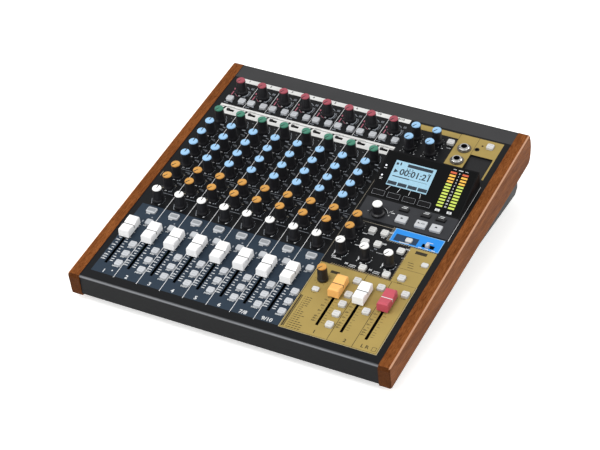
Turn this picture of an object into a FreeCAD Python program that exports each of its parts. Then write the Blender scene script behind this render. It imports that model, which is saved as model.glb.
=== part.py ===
import FreeCAD, Part
import math
import os

# A desktop recording mixer with wooden cheeks, in millimetres.
# The origin lies on the floor under the middle of the mixer: X to the right, Y to the back, Z up.
# Most pieces are drawn in the panel's own frame and then tilted into place. In that frame x runs to
# the right from the middle, y up the slope from the front top edge, and z off the panel's surface.

V = FreeCAD.Vector

# Overall sizes
total_width = 343.0
case_depth = 360.0
front_height = 24.5
foot_height = 10.0
panel_tilt = 8.7

# Case
sheet = 1.2
cheek_thickness = 12.1
cheek_rise = 0.6
cheek_bevel = 1.2
cheek_front_reach = 2.0
cheek_overhang = 4.2
cheek_front_drop = 28.0
cheek_rear_drop = 37.5
panel_flange = 14.0
rear_lip = 10.0
rear_hood = 4.5
case_shift = 0.75
front_bend = 3.0
tray_chamfer = 5.0
tray_lug = 6.0
foot_radius = 11.0
foot_inset_x = 30.0
foot_inset_y = 26.0

# Clearances
gap = 0.3
fit_gap = 0.05

# Control layout: eight channel columns, three master columns and the main fader's between the cheeks
channel_count = 8
master_count = 3
first_column_inset = 20.35
last_column_inset = 19.05
eq_count = 4
knob_pitch = 18.05

# Steps from row to row up the slope, from the rear end of the fader slots
wide_button_step = 17.2
pan_step = 33.2
aux_step = 21.75
eq_step = 20.35
comp_step = 21.2
gain_step = 50.5
phones_pitch_x = 23.1
phones_pitch_y = 18.8
fader_button_pitch = 14.25

# Knobs and their potentiometers
knob_base_radius = 5.6
knob_top_radius = 4.75
knob_lift = 0.9
knob_height = 17.6
knob_skirt = 2.0
cap_radius = 4.5
cap_thickness = 1.0
cap_edge = 0.3
shaft_radius = 3.0
shaft_bottom = -12.0
shaft_top = 12.0
pot_size = 9.6
pot_height = 7.0
pot_floor = 2.0
shaft_hole_gap = 0.7

# Encoder
encoder_inset = (20.0, 9.4)
encoder_base_radius = 6.8
encoder_top_radius = 5.0
encoder_height = 15.2
encoder_dish_radius = 9.0
encoder_dish_depth = 1.0

# Faders
fader_offset = -5.2
slot_front = 25.8
slot_width = 3.0
fader_travel = 60.0
fader_rest = 46.4
tang_length = 5.6
tang_thickness = 1.2
cap_width = 11.4
cap_length = 24.0
cap_bottom = 2.0
cap_ridge = 11.4
cap_valley = 8.8
cap_groove = 0.7
cap_shoulder = 2.5
fader_body_width = 10.0
fader_body_wall = 1.0
fader_body_height = 8.0
fader_body_end = 9.0
carriage_height = 2.6
carriage_length = 9.0

# Push buttons and their switches
button_size = 7.4
button_corner = 1.6
button_height = 2.6
flat_button_height = 1.6
button_travel = 1.5
button_depth = 4.0
button_flange = 0.8
button_round = 0.6
wide_button = (10.6, 7.6)
small_button = (7.0, 5.6)
flat_buttons = (wide_button, small_button)
stem_radius = 1.5
stem_bottom = -11.5
switch_size = 7.0
switch_top = -9.6

# Slide switches
slide_window = (8.4, 3.4)
slide_lever = (3.0, 2.4, 1.6)
patch_window = (13.0, 5.0)
patch_lever = (3.4, 4.0, 2.6)
patch_rest = 3.9
slide_body_depth = 6.0

# Circuit boards
board_thickness = 1.6
control_board_top = -16.0
control_board_margin = 5.5
control_board_front = 11.0
control_board_rear = 27.0
pillar_radius = 2.5
main_board_lift = 6.0
main_board_front = 170.0
main_board_length = 146.0
main_board_margin = 16.0

# Display housing, with a flat shelf in front and a sloping display behind
housing_overhang = 8.7
housing_width = 98.4
housing_step = 52.8
shelf_length = 29.0
display_length = 54.5
shelf_front_height = 0.4
shelf_rear_height = 3.0
housing_height = 20.0
housing_wall = 1.6
housing_plug = 3.0
housing_plug_inset = 1.3
ledge = (3.2, 4.0, 2.5)
ledge_rows = (14.0, 46.0)
window_thickness = 1.5
window_margin = 1.6
window_rim = 1.0
display_board_depth = 8.0
lcd_size = (52.0, 35.6, 6.2)
lcd_place = (34.4, 32.6)
meter_columns = (73.7, 86.3)
meter_segments = 12
meter_start = 9.55
meter_pitch = 3.63
meter_bar = (6.6, 2.3, 6.2)
light_places = ((4.7, 26.8), (4.7, 38.7))
light_radius = 1.0

# Keys on the display housing
function_key = (11.8, 4.6)
function_key_row = 6.6
function_key_first = 9.1
function_key_pitch = 16.5
function_key_travel = 0.6
function_key_top = 0.7
function_stem_bottom = -6.2
transport_key = (11.6, 9.4)
transport_inset = 9.6
transport_columns = (45.5, 66.2, 82.2)
mode_key = (10.0, 4.9)
mode_inset = 22.3
mode_columns = (42.7, 66.1, 82.1)
key_height = 2.0
key_corner = 0.8
key_round = 0.5

# Sockets on the panel
jack_bore = 3.2
jack_body = 12.0
jack_depth = 18.0
bushing_radius = 4.4
bushing_top = 3.6
nut_radius = 5.6
nut_height = 2.4
nut_chamfer = 0.9
washer_radius = 7.3
washer_height = 0.8
phones_jack_offset = (52.45, 0.2)
headset_offset = (65.25, 3.4)
headset_bore = 1.8
headset_bushing = 2.5
pin_light_offset = (68.45, 10.6)

# Card bay behind the display housing, fixed under the panel, with the card reader in front of it
card_width = 24.0
card_thickness = 2.1
bay_offset = 74.15
bay_length = 43.5
bay_corner = 2.0
bay_wall = 0.8
bay_rim = (2.0, 1.0)
bay_floor = -9.0
bay_ramp_drop = 0.6
reader_length = 32.0
reader_wall = 1.0

# Rear panel: combined inputs below, line jacks above, power at the right
input_drop = 52.0
input_radius = 11.6
input_body = 23.0
socket_depth = 25.0
line_drop = 23.0
line_count = 6
first_line_column = 3
ring_radius = 9.6
ring_depth = 1.2
power_drop = 52.0
usb_offset = 23.85
inlet_offset = 47.85
rocker_offset = 73.85
usb_shell = (9.2, 3.4)
usb_mouth = (8.4, 2.6)
inlet_radius = 4.0
inlet_bore = 2.9
inlet_pin = 1.0
rocker = (9.0, 14.0, 8.0)
rocker_frame = (13.0, 19.0, 12.0)
rocker_angle = 8.0
rocker_pin = 1.0
rocker_pivot_depth = 3.0

# Screws
screw_radius = 1.5
screw_head_radius = 2.8
screw_head = 1.8
cheek_screw_radius = 2.0
cheek_screw_head_radius = 3.6
cheek_screw_head = 2.2
cheek_screw_length = 12.0

# Values worked out from the ones above
tilt_sin = math.sin(math.radians(panel_tilt))
tilt_cos = math.cos(math.radians(panel_tilt))
panel_length = case_depth * tilt_cos - front_height * tilt_sin
hood_end = panel_length + rear_hood
case_front = case_shift - case_depth / 2
inner_half = total_width / 2 - cheek_thickness
column_span = 2 * inner_half - first_column_inset - last_column_inset
channel_pitch = column_span / (channel_count + master_count)
columns = [first_column_inset - inner_half + k * channel_pitch for k in range(channel_count)]
masters = [columns[-1] + (k + 1) * channel_pitch for k in range(master_count)]
fader_columns = [x + fader_offset for x in columns] + [x + channel_pitch + fader_offset for x in masters]
slot_length = fader_travel + tang_length + 2 * gap
slot_end = slot_front + slot_length
pan_row = slot_end + pan_step
aux_rows = [pan_row + aux_step + knob_pitch, pan_row + aux_step]
eq_rows = [aux_rows[0] + eq_step + k * knob_pitch for k in reversed(range(eq_count))]
comp_row = eq_rows[0] + comp_step
gain_row = comp_row + gain_step
phones_rows = [gain_row - 0.9, gain_row - 0.9 - phones_pitch_y]
phones_columns = [masters[0], masters[0] + phones_pitch_x]
phones_jack_x = masters[0] + phones_jack_offset[0]
phones_jack_rows = [gain_row + phones_jack_offset[1] - k * (phones_pitch_y + 1.1) for k in range(2)]
headset_place = (masters[0] + headset_offset[0], gain_row + headset_offset[1])
pin_light_place = (masters[0] + pin_light_offset[0], gain_row + pin_light_offset[1])
housing_x0 = masters[0] - housing_overhang
housing_x1 = housing_x0 + housing_width
housing_front = pan_row + housing_step
housing_break = housing_front + shelf_length
housing_rear = housing_break + display_length
slope_angle = math.degrees(math.atan2(housing_height - shelf_rear_height, display_length))
slope_length = math.hypot(housing_height - shelf_rear_height, display_length)
encoder_x = housing_x0 + encoder_inset[0]
encoder_row = housing_front + encoder_inset[1]
bay_middle = masters[0] + bay_offset
bay_half = card_width / 2 + gap / 2
bay_front = housing_rear + gap
bay_rear = housing_rear + bay_length
card_floor = bay_floor + sheet + reader_wall
control_board_back = panel_length - control_board_rear


def tilted(shape):
    """Carries a shape from the panel's frame to its place on the mixer."""
    shape = shape.copy()
    shape.rotate(V(0, 0, 0), V(1, 0, 0), panel_tilt)
    shape.translate(V(0, case_front, foot_height + front_height))
    return shape


def on_slope(shape):
    """Carries a shape from the sloping display's frame to the panel's frame."""
    shape = shape.copy()
    shape.rotate(V(0, 0, 0), V(1, 0, 0), slope_angle)
    shape.translate(V(0, housing_break, shelf_rear_height))
    return shape


def on_display(shape):
    """Carries a shape from the sloping display's frame to its place on the mixer."""
    return tilted(on_slope(shape))


def base_z(y):
    """Height of the tray's underside below the panel's surface, y up the slope."""
    return -(front_height + y * tilt_sin) / tilt_cos


def shelf_z(y):
    """Height of the display housing's shelf above the panel."""
    share = (y - housing_front) / (housing_break - housing_front)
    return shelf_front_height + share * (shelf_rear_height - shelf_front_height)


def box(x0, x1, y0, y1, z0, z1):
    return Part.makeBox(x1 - x0, y1 - y0, z1 - z0, V(x0, y0, z0))


def block(x, y, width, length, z0, z1):
    """A box centred on x and y."""
    return box(x - width / 2, x + width / 2, y - length / 2, y + length / 2, z0, z1)


def peg(x, y, radius, z0, z1):
    return Part.makeCylinder(radius, z1 - z0, V(x, y, z0))


def prism(outline, x0, x1):
    """A closed outline of (y, z) points, pulled along x."""
    points = [V(x0, y, z) for y, z in outline]
    return Part.Face(Part.makePolygon(points + points[:1])).extrude(V(x1 - x0, 0, 0))


def rounded_prism(outline, x0, x1):
    """As prism, with each corner given as (y, z, radius) and rounded by a tangent arc."""
    edges = []
    ends = []
    count = len(outline)
    for index, (y, z, radius) in enumerate(outline):
        corner = V(x0, y, z)
        before = V(x0, *outline[index - 1][:2]) - corner
        after = V(x0, *outline[(index + 1) % count][:2]) - corner
        before.normalize()
        after.normalize()
        if radius == 0:
            ends.append((corner, corner))
            continue
        half = before.getAngle(after) / 2
        reach = radius / math.tan(half)
        middle = before + after
        middle.normalize()
        crown = corner + middle * (radius / math.sin(half) - radius)
        start = corner + before * reach
        end = corner + after * reach
        ends.append((start, end))
        edges.append(Part.Arc(start, crown, end).toShape())
    for index in range(count):
        start = ends[index][1]
        end = ends[(index + 1) % count][0]
        if start.distanceToPoint(end) > 1e-6:
            edges.append(Part.LineSegment(start, end).toShape())
    wire = Part.Wire(Part.__sortEdges__(edges))
    return Part.Face(wire).extrude(V(x1 - x0, 0, 0))


def soft_block(x, y, width, length, z0, z1, corner):
    """A block with rounded upright edges."""
    solid = block(x, y, width, length, z0, z1)
    upright = [edge for edge in solid.Edges if abs(edge.tangentAt(edge.FirstParameter).z) > 0.9]
    return solid.makeFillet(min(corner, width / 2 - 0.1, length / 2 - 0.1), upright)


def eased_top(solid, z, radius):
    """The solid with the edges that lie at height z rounded off."""
    rim = [edge for edge in solid.Edges if edge.BoundBox.ZMin > z - 0.01]
    return solid.makeFillet(radius, rim)


def spun(profile, x, y):
    """A closed profile of (radius, z) points, turned about an upright axis through x and y."""
    points = [V(radius, 0, z) for radius, z in profile]
    solid = Part.Face(Part.makePolygon(points + points[:1])).revolve(V(0, 0, 0), V(0, 0, 1), 360)
    solid.translate(V(x, y, 0))
    return solid


def moved(shape, x=0.0, y=0.0, z=0.0):
    shape = shape.copy()
    shape.translate(V(x, y, z))
    return shape


def fused(shapes):
    """Joins shapes into one solid."""
    return shapes[0].multiFuse(shapes[1:]).removeSplitter()


# Button places: (x, y, (width, length))
square_button = (button_size, button_size)
input_button_places = [(x + dx, gain_row - 14.3, square_button) for x in columns for dx in (-7.2, 7.2)]
assign_button_places = [(x + 1.0, slot_end + wide_button_step, wide_button) for x in columns]
assign_button_places += [(x + 7.6, slot_end - 0.1, square_button) for x in columns]
fader_button_rows = [slot_front + 3.2 + k * fader_button_pitch for k in range(3)]
fader_button_places = [(x + 8.3, y, square_button) for x in columns for y in fader_button_rows]

# Beside the three master faders
left_x, middle_x, right_x = fader_columns[channel_count:]
beside_rows = [slot_front + step for step in (4.3, 19.5, 33.4, 47.0)] + [slot_end + 1.0]
master_button_places = [(left_x + 11.8, y, square_button) for y in beside_rows]
for y in (beside_rows[2] - 0.6, beside_rows[4]):
    master_button_places.append((middle_x + 11.3, y, square_button))
master_button_places += [(right_x - 1.1, slot_end + 20.0, square_button)]
master_button_places += [(right_x + 11.0, slot_end + 0.9, square_button)]
master_button_places += [(right_x + 12.2, pan_row + 11.7, small_button)]
level_row = slot_end - 8.5
master_button_places += [(masters[0] - 0.7, level_row - 14.7, small_button)]

# Around the three white knobs, on the patch behind them and beside the phones jacks
behind_faders = slot_end + 19.4
beside_knobs = pan_row + 21.9
middle_button_rows = (behind_faders, beside_knobs, beside_knobs + 16.9)
master_button_places += [(masters[1] + 3.8, y, square_button) for y in middle_button_rows]
master_button_places += [(masters[2] + 3.3, y, square_button) for y in (behind_faders, beside_knobs - 0.8)]
master_button_places += [(masters[0] + 16.3, y, square_button) for y in (pan_row + 20.3, pan_row + 38.5)]
master_button_places += [(masters[0] + 55.0, pan_row + 38.5, small_button)]
master_button_places += [(masters[0] + 76.8, gain_row + 11.0, square_button)]
master_button_places += [(masters[0] + 36.45, gain_row + 3.4, square_button)]
panel_buttons = input_button_places + assign_button_places + fader_button_places + master_button_places

transport_row = housing_front + transport_inset
mode_row = housing_front + mode_inset
transport_places = [(housing_x0 + x, transport_row, transport_key) for x in transport_columns]
mode_places = [(housing_x0 + x, mode_row, mode_key) for x in mode_columns]
function_places = [housing_x0 + function_key_first + k * function_key_pitch for k in range(4)]

slide_places = [(x + 1.7, comp_row + 19.4) for x in columns]
patch_switch_place = (masters[0] + 75.45, pan_row + 37.6)

phones_knobs = [(x, y) for x in phones_columns for y in phones_rows]
master_knobs = [(masters[0], row) for row in aux_rows + [level_row]] + [(x, pan_row) for x in masters]
channel_knob_rows = [gain_row, comp_row] + eq_rows + aux_rows + [pan_row]
all_knobs = [(x, y) for x in columns for y in channel_knob_rows] + phones_knobs + master_knobs


def bottom_tray():
    rear = panel_length - sheet
    chamfer = tray_chamfer
    outer = prism(
        [
            (sheet, -front_bend - gap),
            (sheet, base_z(sheet)),
            (rear - chamfer, base_z(rear - chamfer)),
            (rear, base_z(rear) + chamfer),
            (rear, -sheet - rear_lip),
            (rear - front_bend, -sheet - 0.1),
            (sheet + front_bend, -sheet - 0.1),
        ],
        -inner_half,
        inner_half,
    )
    inner_rear = rear - chamfer - sheet / 2
    rise = chamfer + 3 * sheet
    inner = prism(
        [
            (2 * sheet, 5.0),
            (2 * sheet, base_z(2 * sheet) + sheet),
            (inner_rear, base_z(inner_rear) + sheet),
            (inner_rear + rise, base_z(inner_rear) + sheet + rise),
            (inner_rear + rise, 5.0),
        ],
        sheet - inner_half,
        inner_half - sheet,
    )
    lugs = []
    for side in (-1, 1):
        near = side * (inner_half - sheet / 2)
        far = side * (inner_half - sheet - tray_lug)
        bottom = base_z(rear) + chamfer + 2 * sheet
        lugs.append(box(min(near, far), max(near, far), rear - sheet, rear, bottom, -rear_lip - 2 * sheet))
    tray = fused([outer.cut(inner)] + lugs)
    holes = [hole for side in (-1, 1) for hole in cheek_screw_pegs(side, cheek_screw_radius + fit_gap)]
    holes += [screw[1] for screw in rear_screw_pegs(screw_radius + fit_gap)]
    return tilted(tray.cut(Part.makeCompound(holes)))


def cheek_screw_rows():
    return (30.0, panel_length / 2, panel_length - 30.0)


def cheek_screw_pegs(side, radius):
    """Shanks of the screws that hold a cheek, from inside the case into the wood."""
    start = side * (inner_half - 2 * sheet)
    return [
        Part.makeCylinder(radius, cheek_screw_length, V(start, y, -panel_flange / 2 - 1.0), V(side, 0, 0))
        for y in cheek_screw_rows()
    ]


def rear_screw_places():
    """Screws through the rear panel into the tray's lugs."""
    x = inner_half - sheet - tray_lug / 2
    return [(side * x, z) for side in (-1, 1) for z in (-rear_lip - 8.0, base_z(panel_length) + 16.0)]


def rear_screw_pegs(radius):
    """Pairs of (place, shank) for the rear panel's screws."""
    return [
        ((x, z), Part.makeCylinder(radius, 3 * sheet, V(x, panel_length, z), V(0, -1, 0)))
        for x, z in rear_screw_places()
    ]


def top_panel():
    """A folded sheet: the front lip, the panel and a hood that stands out behind and turns back in."""
    inner_bend = front_bend - sheet
    sheet_profile = rounded_prism(
        [
            (0, base_z(0) + gap, 0),
            (0, 0, front_bend),
            (hood_end, 0, front_bend),
            (hood_end, -rear_lip, front_bend),
            (panel_length - sheet, -rear_lip, 0),
            (panel_length - sheet, sheet - rear_lip, 0),
            (hood_end - sheet, sheet - rear_lip, inner_bend),
            (hood_end - sheet, -sheet, inner_bend),
            (sheet, -sheet, inner_bend),
            (sheet, base_z(0) + gap, 0),
        ],
        -inner_half,
        inner_half,
    )
    flanges = []
    for side in (-1, 1):
        near = side * (inner_half - sheet)
        far = side * (inner_half - 2 * sheet)
        flanges.append(box(min(near, far), max(near, far), 8, panel_length - 8, -panel_flange, -sheet / 2))
    panel = fused([sheet_profile] + flanges)
    through = (-sheet - 1, 1)
    holes = [peg(x, y, shaft_radius + shaft_hole_gap, *through) for x, y in all_knobs]
    for x, y, (width, depth) in panel_buttons:
        holes.append(soft_block(x, y, width + 2 * gap, depth + 2 * gap, *through, button_corner))
    holes += [fader_slot(x, *through) for x in fader_columns]
    for x, y in slide_places:
        holes.append(block(x, y, *slide_window, *through))
    holes.append(block(*patch_switch_place, *patch_window, *through))
    for y in phones_jack_rows:
        holes.append(peg(phones_jack_x, y, bushing_radius + fit_gap, *through))
    holes.append(peg(*headset_place, headset_bushing + fit_gap, *through))
    holes.append(peg(*pin_light_place, light_radius + fit_gap, *through))
    inset = housing_plug_inset - gap
    holes.append(under_housing(inset, *through))
    front = housing_rear - 6
    rear = bay_rear + gap
    width = 2 * (bay_half + gap)
    holes.append(soft_block(bay_middle, (front + rear) / 2, width, rear - front, *through, bay_corner))
    holes += [hole for side in (-1, 1) for hole in cheek_screw_pegs(side, cheek_screw_radius + fit_gap)]
    return tilted(panel.cut(Part.makeCompound(holes)))


def under_housing(inset, z0, z1):
    """A box under the display housing, set in from its four walls."""
    return box(housing_x0 + inset, housing_x1 - inset, housing_front + inset, housing_rear - inset, z0, z1)


def rear_panel():
    bottom = base_z(panel_length - sheet) + tray_chamfer + 0.1
    plate = box(-inner_half, inner_half, panel_length - sheet, panel_length, bottom, -rear_lip - 0.1)
    holes = [rear_hole(x, -input_drop, input_radius + gap) for x in columns]
    holes += [rear_hole(x, -line_drop, bushing_radius + fit_gap) for x in line_columns()]
    for offset, (width, height) in ((usb_offset, usb_shell), (rocker_offset, rocker_frame[:2])):
        holes.append(rear_box(masters[0] + offset, -power_drop, width + 2 * fit_gap, height + 2 * fit_gap))
    holes.append(rear_hole(masters[0] + inlet_offset, -power_drop, inlet_radius + fit_gap))
    holes += [shank for place, shank in rear_screw_pegs(screw_radius + fit_gap)]
    return tilted(plate.cut(Part.makeCompound(holes)))


def line_columns():
    return columns[first_line_column:] + masters[:1]


def rear_hole(x, z, radius):
    return Part.makeCylinder(radius, 4 * sheet, V(x, panel_length + sheet, z), V(0, -1, 0))


def rear_box(x, z, width, height):
    return rear_block(x, z, width, height, -sheet, 3 * sheet)


def cheek(side):
    rear = hood_end + cheek_overhang
    outline = [
        (-cheek_front_reach, cheek_rise, 4.0),
        (1.6 - cheek_front_reach, -cheek_front_drop, 3.0),
        (rear - 5.0, -cheek_rear_drop, 8.0),
        (rear + 1.4, -cheek_rear_drop / 2, 40.0),
        (rear - 5.0, cheek_rise, 4.0),
    ]
    board = rounded_prism(outline, inner_half, inner_half + cheek_thickness)
    outer_edges = [edge for edge in board.Edges if edge.BoundBox.XMin > inner_half + cheek_thickness - 0.01]
    board = board.makeChamfer(cheek_bevel, outer_edges)
    if side < 0:
        board = board.mirror(V(0, 0, 0), V(1, 0, 0))
    return tilted(board.cut(Part.makeCompound(cheek_screw_pegs(side, cheek_screw_radius + fit_gap))))


def case_screws():
    """The screws that hold the cheeks from inside and the rear panel from behind."""
    screws = []
    for side in (-1, 1):
        start = side * (inner_half - 2 * sheet)
        for shank, y in zip(cheek_screw_pegs(side, cheek_screw_radius), cheek_screw_rows()):
            place = V(start, y, -panel_flange / 2 - 1.0)
            head = Part.makeCylinder(cheek_screw_head_radius, cheek_screw_head, place, V(-side, 0, 0))
            screws.append(tilted(shank.fuse(head)))
    for (x, z), shank in rear_screw_pegs(screw_radius):
        head = Part.makeCylinder(screw_head_radius, screw_head, V(x, panel_length, z), V(0, 1, 0))
        screws.append(tilted(shank.fuse(head)))
    return screws


def feet():
    """Rubber feet, upright on the floor under the flat tray."""
    shapes = []
    for side in (-1, 1):
        for y in (case_front + foot_inset_y, case_front + case_depth - foot_inset_y):
            foot = Part.makeCone(foot_radius - 1.0, foot_radius, foot_height)
            shapes.append(moved(foot, side * (inner_half - foot_inset_x), y))
    return shapes


def control_board():
    half = inner_half - control_board_margin
    top = control_board_top
    board = box(-half, half, control_board_front, control_board_back, top - board_thickness, top)
    width = jack_body + 1.0
    cuts = [block(phones_jack_x, y, width, width, top - 3, top + 1) for y in phones_jack_rows]
    return tilted(board.cut(Part.makeCompound(cuts)))


def main_board():
    """The flat board over the tray's floor, drawn upright in the mixer's own frame."""
    half = inner_half - main_board_margin
    z = foot_height + sheet + main_board_lift
    y = case_front + main_board_front
    return box(-half, half, y, y + main_board_length, z, z + board_thickness)


def jack_board():
    rear = panel_length - sheet - socket_depth
    half = inner_half - control_board_margin
    board = box(-half, half, rear - board_thickness, rear, -input_drop - 14, -sheet - jack_depth - gap)
    return tilted(board)


def board_pillars():
    """Pillars from the panel to the control board, and from the tray's floor to the main board."""
    dividers = [columns[k] + channel_pitch / 2 for k in (0, 2, 4, 7)]
    shapes = []
    for x in dividers + [right_x + 10.8]:
        for y in (slot_front - 11.3, slot_end - 18.0, pan_row - 4.2):
            shapes.append(tilted(peg(x, y, pillar_radius, control_board_top, -sheet)))
    for x in dividers:
        shapes.append(tilted(peg(x, comp_row + 9.0, pillar_radius, control_board_top, -sheet)))
    floor = foot_height + sheet
    half = inner_half - main_board_margin - 6.0
    y0 = case_front + main_board_front + 6.0
    for x in (-half, 0, half):
        for y in (y0, y0 + main_board_length - 12.0):
            shapes.append(peg(x, y, pillar_radius, floor, floor + main_board_lift))
    return shapes


def potentiometer(x, y):
    body = block(x, y, pot_size, pot_size, control_board_top, control_board_top + pot_height)
    return body.cut(peg(x, y, shaft_radius + gap, control_board_top + pot_floor, 0))


def knob(x, y, radii=(knob_base_radius, knob_top_radius), height=knob_height, lift=knob_lift):
    """A knob, the coloured cap on its top and the turning shaft in it."""
    base_radius, top_radius = radii
    shoulder = height - cap_thickness
    body = spun(
        [
            (0, shaft_top),
            (shaft_radius + fit_gap, shaft_top),
            (shaft_radius + fit_gap, lift),
            (base_radius, lift),
            (base_radius, lift + knob_skirt),
            (top_radius + 0.4, lift + knob_skirt + 1.0),
            (top_radius, shoulder),
            (0, shoulder),
        ],
        x,
        y,
    )
    cap = peg(x, y, top_radius - (knob_top_radius - cap_radius), shoulder, height)
    cap = cap.makeChamfer(cap_edge, [edge for edge in cap.Edges if edge.BoundBox.ZMin > height - 0.01])
    shaft = peg(x, y, shaft_radius, shaft_bottom, shaft_top)
    return [body, cap, shaft]


def placed_knobs(places):
    return [tilted(solid) for x, y in places for solid in knob(x, y)]


def pot_bodies():
    return [tilted(potentiometer(x, y)) for x, y in all_knobs + [(encoder_x, encoder_row)]]


def encoder_knob():
    lift = shelf_z(encoder_row) - encoder_dish_depth + knob_lift
    radii = (encoder_base_radius, encoder_top_radius)
    return [tilted(solid) for solid in knob(encoder_x, encoder_row, radii, encoder_height, lift)]


def fader_slot(x, z0, z1):
    return box(x - slot_width / 2, x + slot_width / 2, slot_front, slot_front + slot_length, z0, z1)


def fader_body(x):
    """A long closed case with a slot along its top and room inside for the carriage."""
    half = fader_body_width / 2
    y0 = slot_front - fader_body_end
    y1 = slot_front + slot_length + fader_body_end
    z0 = control_board_top
    z1 = z0 + fader_body_height
    wall = fader_body_wall
    case = box(x - half, x + half, y0, y1, z0, z1)
    hollow = box(x - half + wall, x + half - wall, y0 + wall, y1 - wall, z0 + wall, z1 - wall)
    return case.cut(Part.makeCompound([hollow, fader_slot(x, z1 - 2 * wall, z1 + 1)]))


def fader(x):
    """A fader's cap, its metal tang and the carriage that runs in the case below."""
    y = slot_front + gap + tang_length / 2 + fader_rest
    half = cap_length / 2
    outline = [
        (-half, cap_bottom, 0),
        (-half + 0.7, cap_ridge - 0.8, 1.0),
        (-half + 3.0, cap_ridge, 1.6),
        (-cap_groove / 2, cap_valley, 0),
        (-cap_groove / 2, cap_valley - cap_groove, 0),
        (cap_groove / 2, cap_valley - cap_groove, 0),
        (cap_groove / 2, cap_valley, 0),
        (half - 3.0, cap_ridge, 1.6),
        (half - 0.7, cap_ridge - 0.8, 1.0),
        (half, cap_bottom, 0),
    ]
    side = cap_width / 2
    section = rounded_prism(
        [
            (-side, cap_bottom, 0),
            (side, cap_bottom, 0),
            (side, cap_ridge, cap_shoulder),
            (-side, cap_ridge, cap_shoulder),
        ],
        -half,
        half,
    )
    section.rotate(V(0, 0, 0), V(0, 0, 1), 90)
    cap = moved(rounded_prism(outline, -side, side).common(section), x, y)
    carriage_bottom = control_board_top + fader_body_wall + gap
    carriage_top = carriage_bottom + carriage_height
    width = fader_body_width - 2 * fader_body_wall - 2 * gap
    carriage = block(x, y, width, carriage_length, carriage_bottom, carriage_top)
    tang = block(x, y, tang_thickness, tang_length, carriage_top, cap_bottom)
    return [tilted(solid) for solid in (cap, tang, carriage)]


def key_cap(x, y, size, bottom, top, corner, rounding):
    """The cap of a button or key with a stem down to its switch."""
    cap = eased_top(soft_block(x, y, *size, bottom, top, corner), top, rounding)
    return [cap, peg(x, y, stem_radius, stem_bottom, bottom + 0.5)]


def button(x, y, size):
    """A push button with a flange under the panel that keeps it in."""
    width, length = (side + 2 * button_flange for side in size)
    under = -sheet - gap
    flange = soft_block(x, y, width, length, under - sheet, under, button_corner)
    top = flat_button_height if size in flat_buttons else button_height
    cap = key_cap(x, y, size, -button_depth, top, button_corner, button_round)
    return tilted(fused(cap + [flange]))


def buttons(places):
    return [button(x, y, size) for x, y, size in places]


def housing_key(x, y, size):
    """A key in the display housing's shelf, which has no flange because the plug holds it."""
    top = shelf_z(y)
    return tilted(fused(key_cap(x, y, size, top - button_depth, top + key_height, key_corner, key_round)))


def function_keys():
    """Four keys in the display window, over switches on the display board."""
    shapes = []
    for x in function_places:
        cap = soft_block(x, function_key_row, *function_key, -3.2, function_key_top, key_corner)
        cap = eased_top(cap, function_key_top, key_round)
        stem = peg(x, function_key_row, stem_radius, function_stem_bottom, -3.0)
        shapes.append(on_display(fused([cap, stem])))
    return shapes


def switch_body(x, y):
    body = block(x, y, switch_size, switch_size, control_board_top, switch_top)
    return body.cut(peg(x, y, stem_radius + gap, stem_bottom - button_travel - 2 * gap, 0))


def slide_switch_body(x, y, window):
    """The case under a slide switch's window, with a trough that its lever runs in."""
    width, length = window
    body = block(x, y, width + 4, length + 3, -sheet - slide_body_depth, -sheet)
    trough = block(x, y, width, length, -sheet - slide_body_depth + 1.5, 0)
    leg = block(x, y, width, length, control_board_top, -sheet - slide_body_depth)
    return fused([body.cut(trough), leg])


def switch_bodies():
    shapes = [tilted(switch_body(x, y)) for x, y, size in panel_buttons + transport_places + mode_places]
    for x, y in slide_places:
        shapes.append(tilted(slide_switch_body(x, y, slide_window)))
    shapes.append(tilted(slide_switch_body(*patch_switch_place, patch_window)))
    bore_bottom = function_stem_bottom - function_key_travel - 2 * gap
    for x in function_places:
        body = block(x, function_key_row, 7.0, 4.4, -display_board_depth, -5.0)
        body = body.cut(peg(x, function_key_row, stem_radius + gap, bore_bottom, -4))
        shapes.append(on_display(body))
    return shapes


def slide_lever_at(place, window, lever, rest=0.0):
    """A lever in its window, set off to the right of the left end of its travel by its rest."""
    x, y = place
    width, length, height = lever
    middle = x - window[0] / 2 + gap + width / 2 + rest
    bottom = -sheet - slide_body_depth + 1.5 + gap
    return tilted(block(middle, y, width, length, bottom, height))


def channel_switches():
    return [slide_lever_at(place, slide_window, slide_lever) for place in slide_places]


def patch_switch():
    return slide_lever_at(patch_switch_place, patch_window, patch_lever, patch_rest)


def window_outline(margin, z0, z1):
    """A box over the sloping display, set in from its edges by a margin."""
    return box(housing_x0 + margin, housing_x1 - margin, margin, slope_length - margin, z0, z1)


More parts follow.
